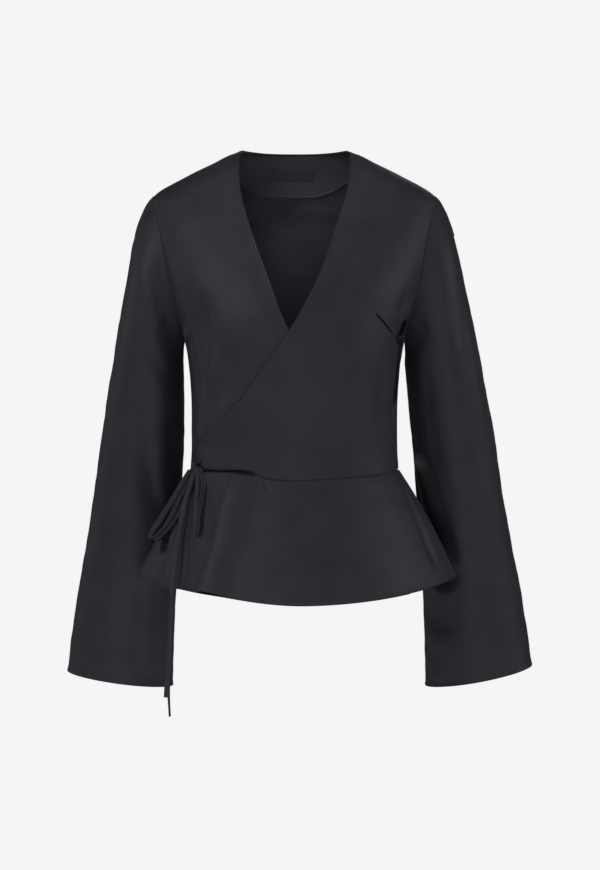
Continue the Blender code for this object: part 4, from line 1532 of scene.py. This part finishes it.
    def build(self) -> list[bpy.types.Object]:
        """Make the three pieces of the bodice.

        Returns:
            The left front, the right front and the back.
        """
        body = self.body
        seams = (Edge.TOP, Edge.END, Edge.BOTTOM)
        grid = self.front_grid(WRAP_EDGE, False)
        left = self.cloth("front_left_cloth", grid, np.zeros(grid.shape[:2]), seams,
                          (Edge.START,))
        left.fold(FOLDS["front_left"])
        left.finish_edges()
        self.overhang(left, grid)
        grid = self.front_grid(UNDERLAP_EDGE, True)
        wrap = angle_for_x(body, grid[..., 1], look_up(WRAP_EDGE, "across", grid[..., 1]))
        dive = -UNDERLAP_DEPTH * underlap_share(wrap, grid[..., 0])
        right = self.cloth("front_right_cloth", grid, dive, seams, (Edge.START,))
        clear = ease((wrap - self.calm_lead - grid[..., 0]) / self.calm_ramp)
        flat = right.points
        right.fold(FOLDS["front_right"])
        right.points = flat + (right.points - flat) * clear[..., None]
        right.finish_edges()
        back = self.back()
        made = [piece.shell(self.crepe, self.satin) for piece in (left, right, back)]
        for piece in made:
            dress(piece, piece.name.removesuffix("_cloth"))
        return made

    def back(self) -> Cloth:
        """The back, each row level from the wearer's right to the left.

        Returns:
            The finished cloth.
        """
        top = paced(SHOULDER_DROP, self.step, EDGE_ZONES[:1])
        shoulder = np.stack([np.full(len(top), 90.0), top], axis=-1)
        rows = paced(self.back_side, self.step, EDGE_ZONES[1:]) / self.back_side
        side = self.side_places(rows, False)
        left = np.concatenate([shoulder[:-1], side])
        right = left * [-1, 1] + [360, 0]
        shares = self.column_shares(right, left, 0.0)
        grid = right[:, None] * (1 - shares[..., None]) + left[:, None] * shares[..., None]
        ends = look_up(WAIST_SEAM, "drop", grid[-1, :, 0]) - grid[-1, :, 1]
        down = grid[:, :1, 1] / grid[-1, 0, 1]
        grid[..., 1] += ends[None, :] * down ** self.back_waist_power
        cloth = self.cloth("back_bodice_cloth", grid, np.zeros(grid.shape[:2]),
                           (Edge.START, Edge.END, Edge.BOTTOM), (Edge.TOP,))
        cloth.fold(FOLDS["back_bodice"])
        cloth.finish_edges()
        return cloth


def tuck_run(angle: Array) -> Array:
    """Strength, round the waist, of the tuck that the bow pulls into the waist seam."""
    return ease((angle - TUCK_START) / TUCK_RISE) * ease((TUCK_END - angle) / TUCK_FADE)


def underlap_share(edge_angle: Array, angle: Array) -> Array:
    """How far the right front and peplum have gone inside, 0 until near the wrap edge."""
    return ease(1 - (edge_angle - UNDERLAP_LEAD - angle) / UNDERLAP_RAMP)


@dataclass
class Peplum:
    """Flared peplum: one back and two fronts, the left one lapping over."""

    form: PeplumForm
    crepe: bpy.types.Material
    satin: bpy.types.Material
    step: float = 2.6
    lip_depth: float = 3.8  # of the bulge below the tuck in the waist seam
    lip_start: float = 1.4  # its distance below the seam
    lip_rise: float = 3.0
    lip_end: float = 34.0
    length: float = 160.0   # from the waist seam to the hem
    hem_samples: int = 200  # points along which its hem is measured
    calm_lead: float = 3.0  # degrees short of the wrap edge at which the
    calm_ramp: float = 8.0  # underlap's folds have died out, and over which

    def free_angle(self, edge: Sequence[EdgePoint], hem_angle: float, fall: Array) -> Array:
        """Angle of a front's free edge.

        Args:
            edge: The edge of the bodice's front above it.
            hem_angle: Angle at which it reaches the hem.
            fall: Shares of the way to the hem.

        Returns:
            The angle at each fall.
        """
        drop, across = np.array(edge[-1].drop), np.array(edge[-1].across)
        start = float(angle_for_x(self.form.body, drop, across))
        seam = look_up(WAIST_SEAM, "drop", start)
        start = float(angle_for_x(self.form.body, np.array(seam), look_up(edge, "across", seam)))
        return start + (hem_angle - start) * fall

    def panel(self, name: str, starts: Array, ends: Array, falls: Array,
              seams: tuple[Edge, ...], hems: tuple[Edge, ...], dives: bool = False) -> Cloth:
        """One panel of the peplum, its hem turned.

        Args:
            name: Its name.
            starts: Angle of its first edge at each level.
            ends: Angle of its last edge at each level.
            falls: The levels, as shares of the way to the hem.
            seams: Its seamed edges.
            hems: Its turned edges.
            dives: Whether it runs inside the panel that laps over it.

        Returns:
            The finished cloth.
        """
        hem = self.form.point(np.linspace(starts[-1], ends[-1], self.hem_samples),
                              np.ones(self.hem_samples))
        width = np.linalg.norm(np.diff(hem, axis=0), axis=1).sum()
        places = paced(float(width), self.step, EDGE_ZONES) / width
        angles = starts[:, None] * (1 - places) + ends[:, None] * places
        level = np.broadcast_to(falls[:, None], angles.shape)
        across = normals_of(self.form, angles, level)
        face = self.form.point(angles, level)
        if dives:
            wrap = self.free_angle(WRAP_EDGE, WRAP_HEM_ANGLE, falls)[:, None]
            depth = UNDERLAP_DEPTH * underlap_share(wrap, angles)
            face = face - across * (depth * (1 + UNDERLAP_HEM_EXTRA * level))[..., None]
        cloth = Cloth(name, face, across, seams=seams, hems=hems)
        flat = cloth.points
        cloth.fold(FOLDS[name.removesuffix("_cloth")])
        if dives:
            clear = ease((wrap - self.calm_lead - angles) / self.calm_ramp)
            cloth.points = flat + (cloth.points - flat) * clear[..., None]
        else:
            below = cloth.away_from(Edge.TOP)
            fade = self.lip_end - self.lip_start - self.lip_rise
            lip = (ease((below - self.lip_start) / self.lip_rise)
                   * ease((self.lip_end - below) / fade))
            lip = self.lip_depth * lip * tuck_run(angles)
            cloth.points = cloth.points + across * lip[..., None]
        cloth.finish_edges()
        return cloth

    def build(self) -> list[bpy.types.Object]:
        """Make the three pieces of the peplum.

        Returns:
            The left front, the right front and the back.
        """
        falls = paced(self.length, self.step, EDGE_ZONES) / self.length
        level = np.ones(len(falls))
        wrap = self.free_angle(WRAP_EDGE, WRAP_HEM_ANGLE, falls)
        under = self.free_angle(UNDERLAP_EDGE, UNDERLAP_HEM_ANGLE, falls)
        panels = [
            self.panel("peplum_front_left_cloth", wrap, 90 * level, falls,
                       (Edge.TOP, Edge.END), (Edge.BOTTOM, Edge.START)),
            self.panel("peplum_front_right_cloth", -90 * level, under, falls,
                       (Edge.TOP, Edge.START), (Edge.BOTTOM, Edge.END), dives=True),
            self.panel("peplum_back_cloth", 90 * level, 270 * level, falls,
                       (Edge.TOP, Edge.START, Edge.END), (Edge.BOTTOM,)),
        ]
        made = [panel.shell(self.crepe, self.satin) for panel in panels]
        for piece in made:
            dress(piece, piece.name.removesuffix("_cloth"))
        return made


@dataclass
class BellSleeve:
    """One-piece set-in sleeve that widens to an open cuff."""

    name: str
    sections: Sequence[SleeveSection]
    cuff: Cuff
    side: float                # 1 for the wearer's left, -1 for the right
    body: BodyForm
    crepe: bpy.types.Material
    satin: bpy.types.Material
    columns: int = 108
    seam_shares: tuple[float, ...] = (0.0, 0.004, 0.01, 0.02, 0.035)  # of its head's rows
    head_start: float = 0.05
    head_rows: int = 34
    tube_rows: int = 200
    tube_end: float = 0.985
    cuff_shares: tuple[float, ...] = (0.99, 0.994, 0.997, 1.0)  # of its tube's rows
    stand_off: float = 0.1     # of its edge from the bodice's, each way
    allowance: float = 0.9     # cloth that runs under the bodice's edge
    allowance_depth: float = 1.5
    seam_depth: float = 0.7    # of the underarm seam's groove
    seam_half_width: float = 2.56

    def tube(self, turn: Array, drop: Array) -> Array:
        """Point of the sleeve's outer face, below its head.

        Args:
            turn: Degrees round it, 0 at its outer side and 90 in front.
            drop: Distance below the neck points.

        Returns:
            Points with a last axis of three.
        """
        round_it = np.radians(turn)
        inner = look_up(self.sections, "inner", drop)
        outer = look_up(self.sections, "outer", drop)
        x = (outer + inner) / 2 + (outer - inner) / 2 * np.cos(round_it)
        depth = look_up(self.sections, "half_depth", drop) * np.sin(round_it)
        centre = look_up(self.sections, "centre_y", drop)
        return np.stack([self.side * x, centre - depth, -drop + 0 * x], axis=-1)

    def points(self) -> Array:
        """Grid of the sleeve, from the armhole seam over its head and down to the cuff.

        Returns:
            Rows of points that run round it from its outer side, over the front.
        """
        half = self.columns // 2
        turn = 360.0 * np.arange(self.columns) / self.columns
        front = armhole(self.body, np.linspace(0, 180, half + 1), True)
        back = armhole(self.body, np.linspace(0, 180, half + 1), False)
        ring = np.concatenate([front, back[-2:0:-1]])
        angle, drop = self.side * ring[:, 0], ring[:, 1]
        seam = self.body.point(angle, drop)
        outward = normals_of(self.body, angle, drop)
        around = unit(np.roll(seam, -1, axis=0) - np.roll(seam, 1, axis=0))
        onward = self.side * np.cross(outward, around)
        start = seam + onward * self.stand_off + outward * self.stand_off
        depth = 1 - np.abs(turn / 180 - 1)
        swing = np.radians(CAP_TURN) * depth[:, None] ** CAP_TURN_POWER
        leave = onward * np.cos(swing) + outward * np.sin(swing)
        middle = (CAP_OUTER_DROP + CAP_INNER_DROP) / 2
        spread = (CAP_INNER_DROP - CAP_OUTER_DROP) / 2
        join_drop = middle - spread * np.cos(np.radians(turn))
        join = self.tube(turn, join_drop)
        arrive = unit(self.tube(turn, join_drop + 1) - join)
        reach = np.linalg.norm(join - start, axis=-1, keepdims=True)
        leave, arrive = leave * reach * CAP_START_PULL, arrive * reach * CAP_END_PULL
        shares = [*self.seam_shares, *np.linspace(self.head_start, 1, self.head_rows)]
        rows = [cubic(share, start, leave, join, arrive) for share in shares]
        round_it = np.radians(turn)
        cuff = self.cuff
        end = (cuff.outer_drop + cuff.inner_drop) / 2 + cuff.front_fall * np.sin(round_it)
        end = end + (cuff.outer_drop - cuff.inner_drop) / 2 * np.cos(round_it)
        down = [*np.linspace(0, self.tube_end, self.tube_rows)[1:], *self.cuff_shares]
        rows += [self.tube(turn, join_drop + (end - join_drop) * t) for t in down]
        allowance = seam - onward * self.allowance - outward * self.allowance_depth
        return np.array([allowance, *rows])

    def build(self) -> bpy.types.Object:
        """Make the sleeve, with its underarm seam as a fine groove.

        Returns:
            The piece.
        """
        points = self.points()
        cloth = Cloth(f"{self.name}_cloth", points, grid_normals(points, self.side),
                      closed=True, seams=(Edge.TOP,), hems=(Edge.BOTTOM,))
        cloth.fold(FOLDS[self.name])
        cloth.finish_edges()
        around = np.linalg.norm(cloth.points - cloth.points[:, self.columns // 2, None], axis=-1)
        groove = self.seam_depth * hump(around, 0.0, self.seam_half_width)
        cloth.points = cloth.points - cloth.normals * groove[..., None]
        cloth.normals = grid_normals(cloth.points, self.side)
        piece = cloth.shell(self.crepe, self.satin)
        dress(piece, self.name)
        return piece


@dataclass
class NeckFinish:
    """Facing inside the back neck, with its bare label."""

    body: BodyForm
    satin: bpy.types.Material
    tape: bpy.types.Material
    columns: int = 110
    rows: int = 26          # down to where the lower edge is turned
    rows_end: float = 0.94
    edge_shares: tuple[float, ...] = (0.955, 0.966, 0.977, 0.988, 1.0)
    edge_lift: float = 2.6  # how far the loose lower edge stands off the back
    lift_course: tuple[tuple[float, float], ...] = (      # share down, share of the lift
        (0.55, 0.0), (0.96, 1.0), (0.97, 0.95), (1.0, 0.0),
    )
    facing_thickness: float = 0.8
    facing_hem: float = -0.35  # below 0 sinks the line of stitches
    facing_hem_depth: float = 4.5
    tape_thickness: float = 0.45
    tape_edge: float = -0.35   # below 0 raises the folded edge
    tape_edge_width: float = 1.6
    tape_step_across: float = 2.0
    tape_step_down: float = 1.4

    def build(self) -> list[bpy.types.Object]:
        """Make the facing and the label.

        Returns:
            Both pieces.
        """
        angles = np.linspace(FACING_EDGE[-1].angle, FACING_EDGE[0].angle, self.columns)[None, :]
        share = np.array([*np.linspace(0, self.rows_end, self.rows), *self.edge_shares])[:, None]
        drop = look_up(FACING_EDGE, "drop", angles) * share
        angle = np.broadcast_to(angles, drop.shape)
        across = normals_of(self.body, angle, drop)
        loose = -np.cos(np.radians(angle)) * np.interp(share, *zip(*self.lift_course))
        depth = FACING_DEPTH + self.edge_lift * loose
        face = self.body.point(angle, drop) - across * depth[..., None]
        facing = Cloth("neck_facing_cloth", face, across, thickness=self.facing_thickness,
                       hems=(Edge.BOTTOM,), hem_height=self.facing_hem,
                       hem_depth=self.facing_hem_depth)
        facing.fold(FOLDS["neck_facing"], ())
        facing.finish_edges()
        made = facing.shell(self.satin)
        dress(made, "neck_facing")
        return [made, self.label()]

    def label(self) -> bpy.types.Object:
        """A woven label, left bare, sewn flat to the facing.

        Returns:
            The piece.
        """
        across_mm = paced(LABEL_WIDTH, self.tape_step_across, LABEL_ZONES)
        down_mm = paced(LABEL_HEIGHT, self.tape_step_down, LABEL_ZONES)
        x = (LABEL_CENTRE + LABEL_WIDTH / 2 - across_mm)[None, :] + 0 * down_mm[:, None]
        drop = (LABEL_TOP + BACK_NECK_RISE + down_mm)[:, None] + 0 * x
        half = look_up(TORSO, "half_width", drop)
        angle = 180 - np.degrees(np.arcsin(x / half))
        across = normals_of(self.body, angle, drop)
        face = self.body.point(angle, drop) - across * LABEL_DEPTH
        cloth = Cloth("neck_label_tape", face, across, thickness=self.tape_thickness,
                      seams=tuple(Edge), seam_sink=self.tape_edge,
                      seam_roll=self.tape_edge_width)
        cloth.finish_edges()
        piece = cloth.shell(self.tape)
        dress(piece, "neck_label", Slot.LABEL)
        return piece


class StrapPart(NamedTuple):
    """Part of a tie: its route, the way its width points at both ends with the power of the
    turn between them, and its width as pairs of a share along it and a factor."""

    route: tuple[RoutePoint, ...]
    first: tuple[float, float, float] = (1.0, 0.0, 0.0)
    last: tuple[float, float, float] = (1.0, 0.0, 0.0)
    power: float = 1.0
    widths: tuple[tuple[float, float], ...] = ((0.0, 1.0), (1.0, 1.0))


@dataclass
class BowKnot:
    """The bow's knot: a band wound round the crossing, in soft uneven folds."""

    crepe: bpy.types.Material
    rows: int = 56
    columns: int = 72
    slope: float = 0.35       # how far the winds lean, and the turn they lean from
    slope_turn: float = 0.6
    winds: float = 2.6        # half turns of the band from end to end
    wind_power: float = 0.5   # under 1 makes narrow grooves between broad winds
    core: float = 0.74        # share of the size that the grooves keep
    wind_height: float = 0.24
    broad_pucker: float = 0.06
    fine_pucker: float = 0.04
    end_power: float = 0.7    # under 1 makes the ends blunt
    end_length: float = 0.95  # share of the height, and how uneven the ends are
    end_wave: float = 0.04

    def build(self) -> bpy.types.Object:
        """Make the knot.

        Returns:
            The piece, which goes with the first tie.
        """
        v = np.linspace(0, math.pi, self.rows + 2)[1:-1, None]
        u = 2 * math.pi * np.arange(self.columns)[None, :] / self.columns
        lean = v + self.slope * np.sin(u + self.slope_turn)
        wind = np.abs(np.sin(self.winds * lean)) ** self.wind_power
        pucker = (self.broad_pucker * np.abs(np.sin(4 * u + 3 * v))
                  + self.fine_pucker * np.sin(7 * u - 4 * v))
        swell = (self.core + self.wind_height * wind + pucker) * np.sin(v) ** self.end_power
        height = np.cos(v) * (self.end_length + self.end_wave * np.cos(3 * u))
        grid = np.stack([swell * np.cos(u), swell * np.sin(u), height], axis=-1) * KNOT_HALF
        points = np.concatenate([grid.reshape(-1, 3), [[0, 0, KNOT_CAP], [0, 0, -KNOT_CAP]]])
        index = np.arange(self.rows * self.columns).reshape(self.rows, self.columns)
        piece = mesh_piece("tie_knot_cloth", points + np.array(KNOT_PLACE), capped_tube(index),
                           self.crepe)
        stand_for(piece, Slot.TIE_CLOTH, "tie_knot")
        return piece


@dataclass
class SideTies:
    """Two narrow ties of the same cloth in a bow, each with one loop and one tail."""

    crepe: bpy.types.Material
    step: float = 2.4
    detail: int = 20           # points worked out between two of the route's own
    wall_power: float = 1.3    # over 1 makes a narrower stretch flatter still
    end_bulge: float = 0.3
    slanted: tuple[float, float, float] = (0.8, 0.0, -0.6)  # ways that a width points
    forward: tuple[float, float, float] = (0.0, -1.0, 0.0)
    tail_turn: float = 3.0     # over 1 turns the tail near its end
    loop_widths: tuple[tuple[float, float], ...] = (
        (0.0, 0.8), (0.12, 1.1), (0.4, 1.25), (0.5, 1.0), (0.58, 1.6), (0.8, 1.75),
        (0.92, 1.1), (1.0, 0.8),
    )
    outline: tuple[tuple[float, float], ...] = (      # half widths and heights round a section
        (1.0, 0.0), (0.97, 0.42), (0.88, 0.72), (0.74, 0.93), (0.56, 1.0), (0.38, 0.9),
        (0.2, 0.6), (0.0, -0.2), (-0.2, 0.6), (-0.38, 0.9), (-0.56, 1.0), (-0.74, 0.93),
        (-0.88, 0.72), (-0.97, 0.42), (-1.0, 0.0), (-0.97, -0.42), (-0.88, -0.72), (-0.6, -0.9),
        (-0.2, -1.0), (0.2, -1.0), (0.6, -0.9), (0.88, -0.72), (0.97, -0.42),
    )

    def strap(self, name: str, parts: Sequence[StrapPart]) -> tuple[bpy.types.Object, Array]:
        """One tie from its parts.

        Args:
            name: Name of the piece.
            parts: Its parts, in order along it.

        Returns:
            The tie and the points along its middle.
        """
        centres, guides, widths = [], [], []
        for part in parts:
            route = resample(np.array(part.route, float), self.detail)
            centre = even_steps(route, self.step)
            share = np.linspace(0, 1, len(centre))
            turn = (share ** part.power)[:, None]
            centres.append(centre)
            guides.append(np.array(part.first) * (1 - turn) + np.array(part.last) * turn)
            widths.append(np.interp(share, *zip(*part.widths)))
        centre, spread = np.concatenate(centres), np.concatenate(widths)
        width, wall = spread * TIE_WIDTH / 2, spread ** self.wall_power * TIE_WALL / 2
        tangent = unit(np.gradient(centre, axis=0))
        guide = np.concatenate(guides)
        across = unit(guide - tangent * (guide * tangent).sum(-1, keepdims=True))
        thick = unit(np.cross(across, tangent))
        wide = np.array([place for place, _ in self.outline])
        deep = wall[:, None] * np.array([height for _, height in self.outline])
        ring = (centre[:, None] + across[:, None] * (width[:, None] * wide)[..., None]
                + thick[:, None] * deep[..., None])
        bulge = tangent * self.end_bulge
        points = np.concatenate([ring.reshape(-1, 3), centre[:1] - bulge[:1],
                                 centre[-1:] + bulge[-1:]])
        index = np.arange(ring[..., 0].size).reshape(ring.shape[:2])
        return mesh_piece(name, points, capped_tube(index), self.crepe), centre

    def build(self) -> list[bpy.types.Object]:
        """Make the knot and both ties.

        Returns:
            The three pieces.
        """
        knot = BowKnot(self.crepe).build()
        made = [knot]
        plans = (
            ("tie_side_cloth", ("tie_loop_side", "tie_tail_back"),
             (StrapPart(SIDE_LOOP, self.slanted, self.slanted, widths=self.loop_widths),
              StrapPart(TAIL_BACK, last=self.forward, power=self.tail_turn)), [knot]),
            ("tie_down_cloth", ("tie_loop_down", "tie_tail_front"),
             (StrapPart(DOWN_LOOP), StrapPart(TAIL_FRONT)), []),
        )
        for name, nodes, parts, with_pieces in plans:
            piece, centre = self.strap(name, parts)
            stand_for(piece, Slot.TIE_CLOTH, *nodes)
            made.append(piece)
        return made


class Lamp(NamedTuple):
    """Square soft box: degrees from the front (to the right over 0) and up, then metres from
    the top, metres across and watts."""

    name: str
    azimuth: float
    elevation: float
    distance: float
    size: float
    power: float


@dataclass(frozen=True)
class FloorVinyl:
    """Matt white vinyl sheet, calendered smooth: it gives the eye an even pale ground."""

    name: str = "matt_vinyl_floor"
    colour: str = "ececec"
    roughness: float = 0.8
    glow_colour: str = "f5f5f5"
    glow: float = 0.4  # evens out the lamps' pools of light

    def material(self) -> bpy.types.Material:
        """The finish as a Blender material.

        Returns:
            The new material.
        """
        material = new_material(self.name, VINYL_IOR, self.roughness)
        shader = material.node_tree.nodes[SHADER]
        shader.inputs["Base Color"].default_value = linear(self.colour)
        shader.inputs["Emission Color"].default_value = linear(self.glow_colour)
        shader.inputs["Emission Strength"].default_value = self.glow
        return material


@dataclass
class Studio:
    """Pale floor, soft lights and the camera."""

    floor_z: float = -1.45
    floor_radius: float = 2.2
    floor_corners: int = 96
    backdrop: str = "f5f5f5"
    cast_colour: str = "e6e9ee"  # of the faint light from all round
    cast_strength: float = 0.01
    camera_place: tuple[float, float, float] = (0.0073, -3.2, -0.375)
    aim: tuple[float, float, float] = (0.0, 0.0, -0.36)
    lamp_colour: tuple[float, float, float] = (0.95, 0.975, 1.03)
    half_view: float = 0.57638   # half of the height in view, at y = 0
    sensor: float = 36.0         # in millimetres, across the longer side
    view_end: float = 50.0
    lamps: tuple[Lamp, ...] = (
        Lamp("key_front_left", -42.0, 28.0, 3.3, 1.4, 27.0),
        Lamp("top", 0.0, 75.0, 3.0, 1.8, 15.5),
        Lamp("fill_front", 0.0, -4.0, 3.6, 1.4, 13.0),
        Lamp("high_right", 50.0, 35.0, 3.2, 1.4, 4.0),
        Lamp("side_right", 75.0, 15.0, 3.0, 1.6, 19.0),
        Lamp("side_left", -100.0, 12.0, 2.8, 1.6, 7.0),
        Lamp("back_fill", 172.0, 30.0, 3.2, 2.0, 15.0),
    )

    def build(self) -> None:
        """Make the floor, the surroundings, the lights and the camera."""
        self.world()
        self.floor()
        for lamp in self.lamps:
            self.light(lamp)
        self.camera()
        view = bpy.context.scene.view_settings
        view.view_transform = "Standard"
        view.look = "None"

    def camera(self) -> None:
        """Set the camera level, in front of the top."""
        data = bpy.data.cameras.new("camera")
        data.sensor_width = self.sensor
        data.lens = self.sensor / 2 * -self.camera_place[1] / self.half_view
        data.clip_end = self.view_end
        camera = place_object("camera", data)
        camera.location = self.camera_place
        camera.rotation_euler = (math.pi / 2, 0.0, 0.0)
        bpy.context.scene.camera = camera

    def light(self, lamp: Lamp) -> None:
        """Hang one soft box, turned to the middle of the top.

        Args:
            lamp: Its place, size and power.
        """
        turn, rise = math.radians(lamp.azimuth), math.radians(lamp.elevation)
        way = np.array([math.sin(turn) * math.cos(rise), -math.cos(turn) * math.cos(rise),
                        math.sin(rise)])
        light = bpy.data.lights.new(lamp.name, "AREA")
        light.shape = "SQUARE"
        light.size = lamp.size
        light.energy = lamp.power
        light.color = self.lamp_colour
        box = place_object(lamp.name, light)
        box.location = np.array(self.aim) + way * lamp.distance
        box.rotation_euler = (math.pi / 2 - rise, 0.0, turn)

    def world(self) -> None:
        """Pale surroundings that light the cloth only faintly."""
        world = bpy.data.worlds.new("studio")
        bpy.context.scene.world = world
        world.use_nodes = True
        tree = world.node_tree
        tree.nodes.clear()
        shown = add_node(tree, "ShaderNodeBackground", {"Color": linear(self.backdrop)})
        cast = add_node(tree, "ShaderNodeBackground",
                        {"Color": linear(self.cast_colour), "Strength": self.cast_strength})
        path = add_node(tree, "ShaderNodeLightPath")
        mix = add_node(tree, "ShaderNodeMixShader", None,
                       {0: path.outputs["Is Camera Ray"], 1: cast.outputs[0],
                        2: shown.outputs[0]})
        add_node(tree, "ShaderNodeOutputWorld", None, {"Surface": mix.outputs[0]})

    def floor(self) -> None:
        """A round pale floor, well below the top that hangs as if worn."""
        turn = 2 * math.pi * np.arange(self.floor_corners) / self.floor_corners
        ring = [(self.floor_radius * math.cos(a), self.floor_radius * math.sin(a), self.floor_z)
                for a in turn]
        mesh = bpy.data.meshes.new("studio_floor")
        mesh.from_pydata(ring, [], [list(range(self.floor_corners))])
        mesh.materials.append(FloorVinyl().material())
        place_object("studio_floor", mesh)


def main() -> None:
    """Build the studio and the top, piece by piece."""
    logging.basicConfig(level=logging.INFO, format="%(name)s: %(message)s")
    Studio().build()
    crepe = SatinBackedCrepe().material()
    # the inside's satin, its colour lightened as painted light
    satin = SatinReversePaintedLight().material()
    # the neck facing's satin, lighter still than the inside's as painted light
    facing_satin_painted_light = SatinReversePaintedLight(name="satin_facing_painted_light", colour="46484e").material()
    tape = WovenTape().material()
    body = BodyForm()
    SideTies(crepe).build()
    Bodice(body, crepe, satin).build()
    Peplum(PeplumForm(body), crepe, satin).build()
    BellSleeve("sleeve_right", SLEEVE_RIGHT, CUFF_RIGHT, -1.0, body, crepe, satin).build()
    BellSleeve("sleeve_left", SLEEVE_LEFT, CUFF_LEFT, 1.0, body, crepe, satin).build()
    NeckFinish(body, facing_satin_painted_light, tape).build()


if __name__ == "__main__":
    main()
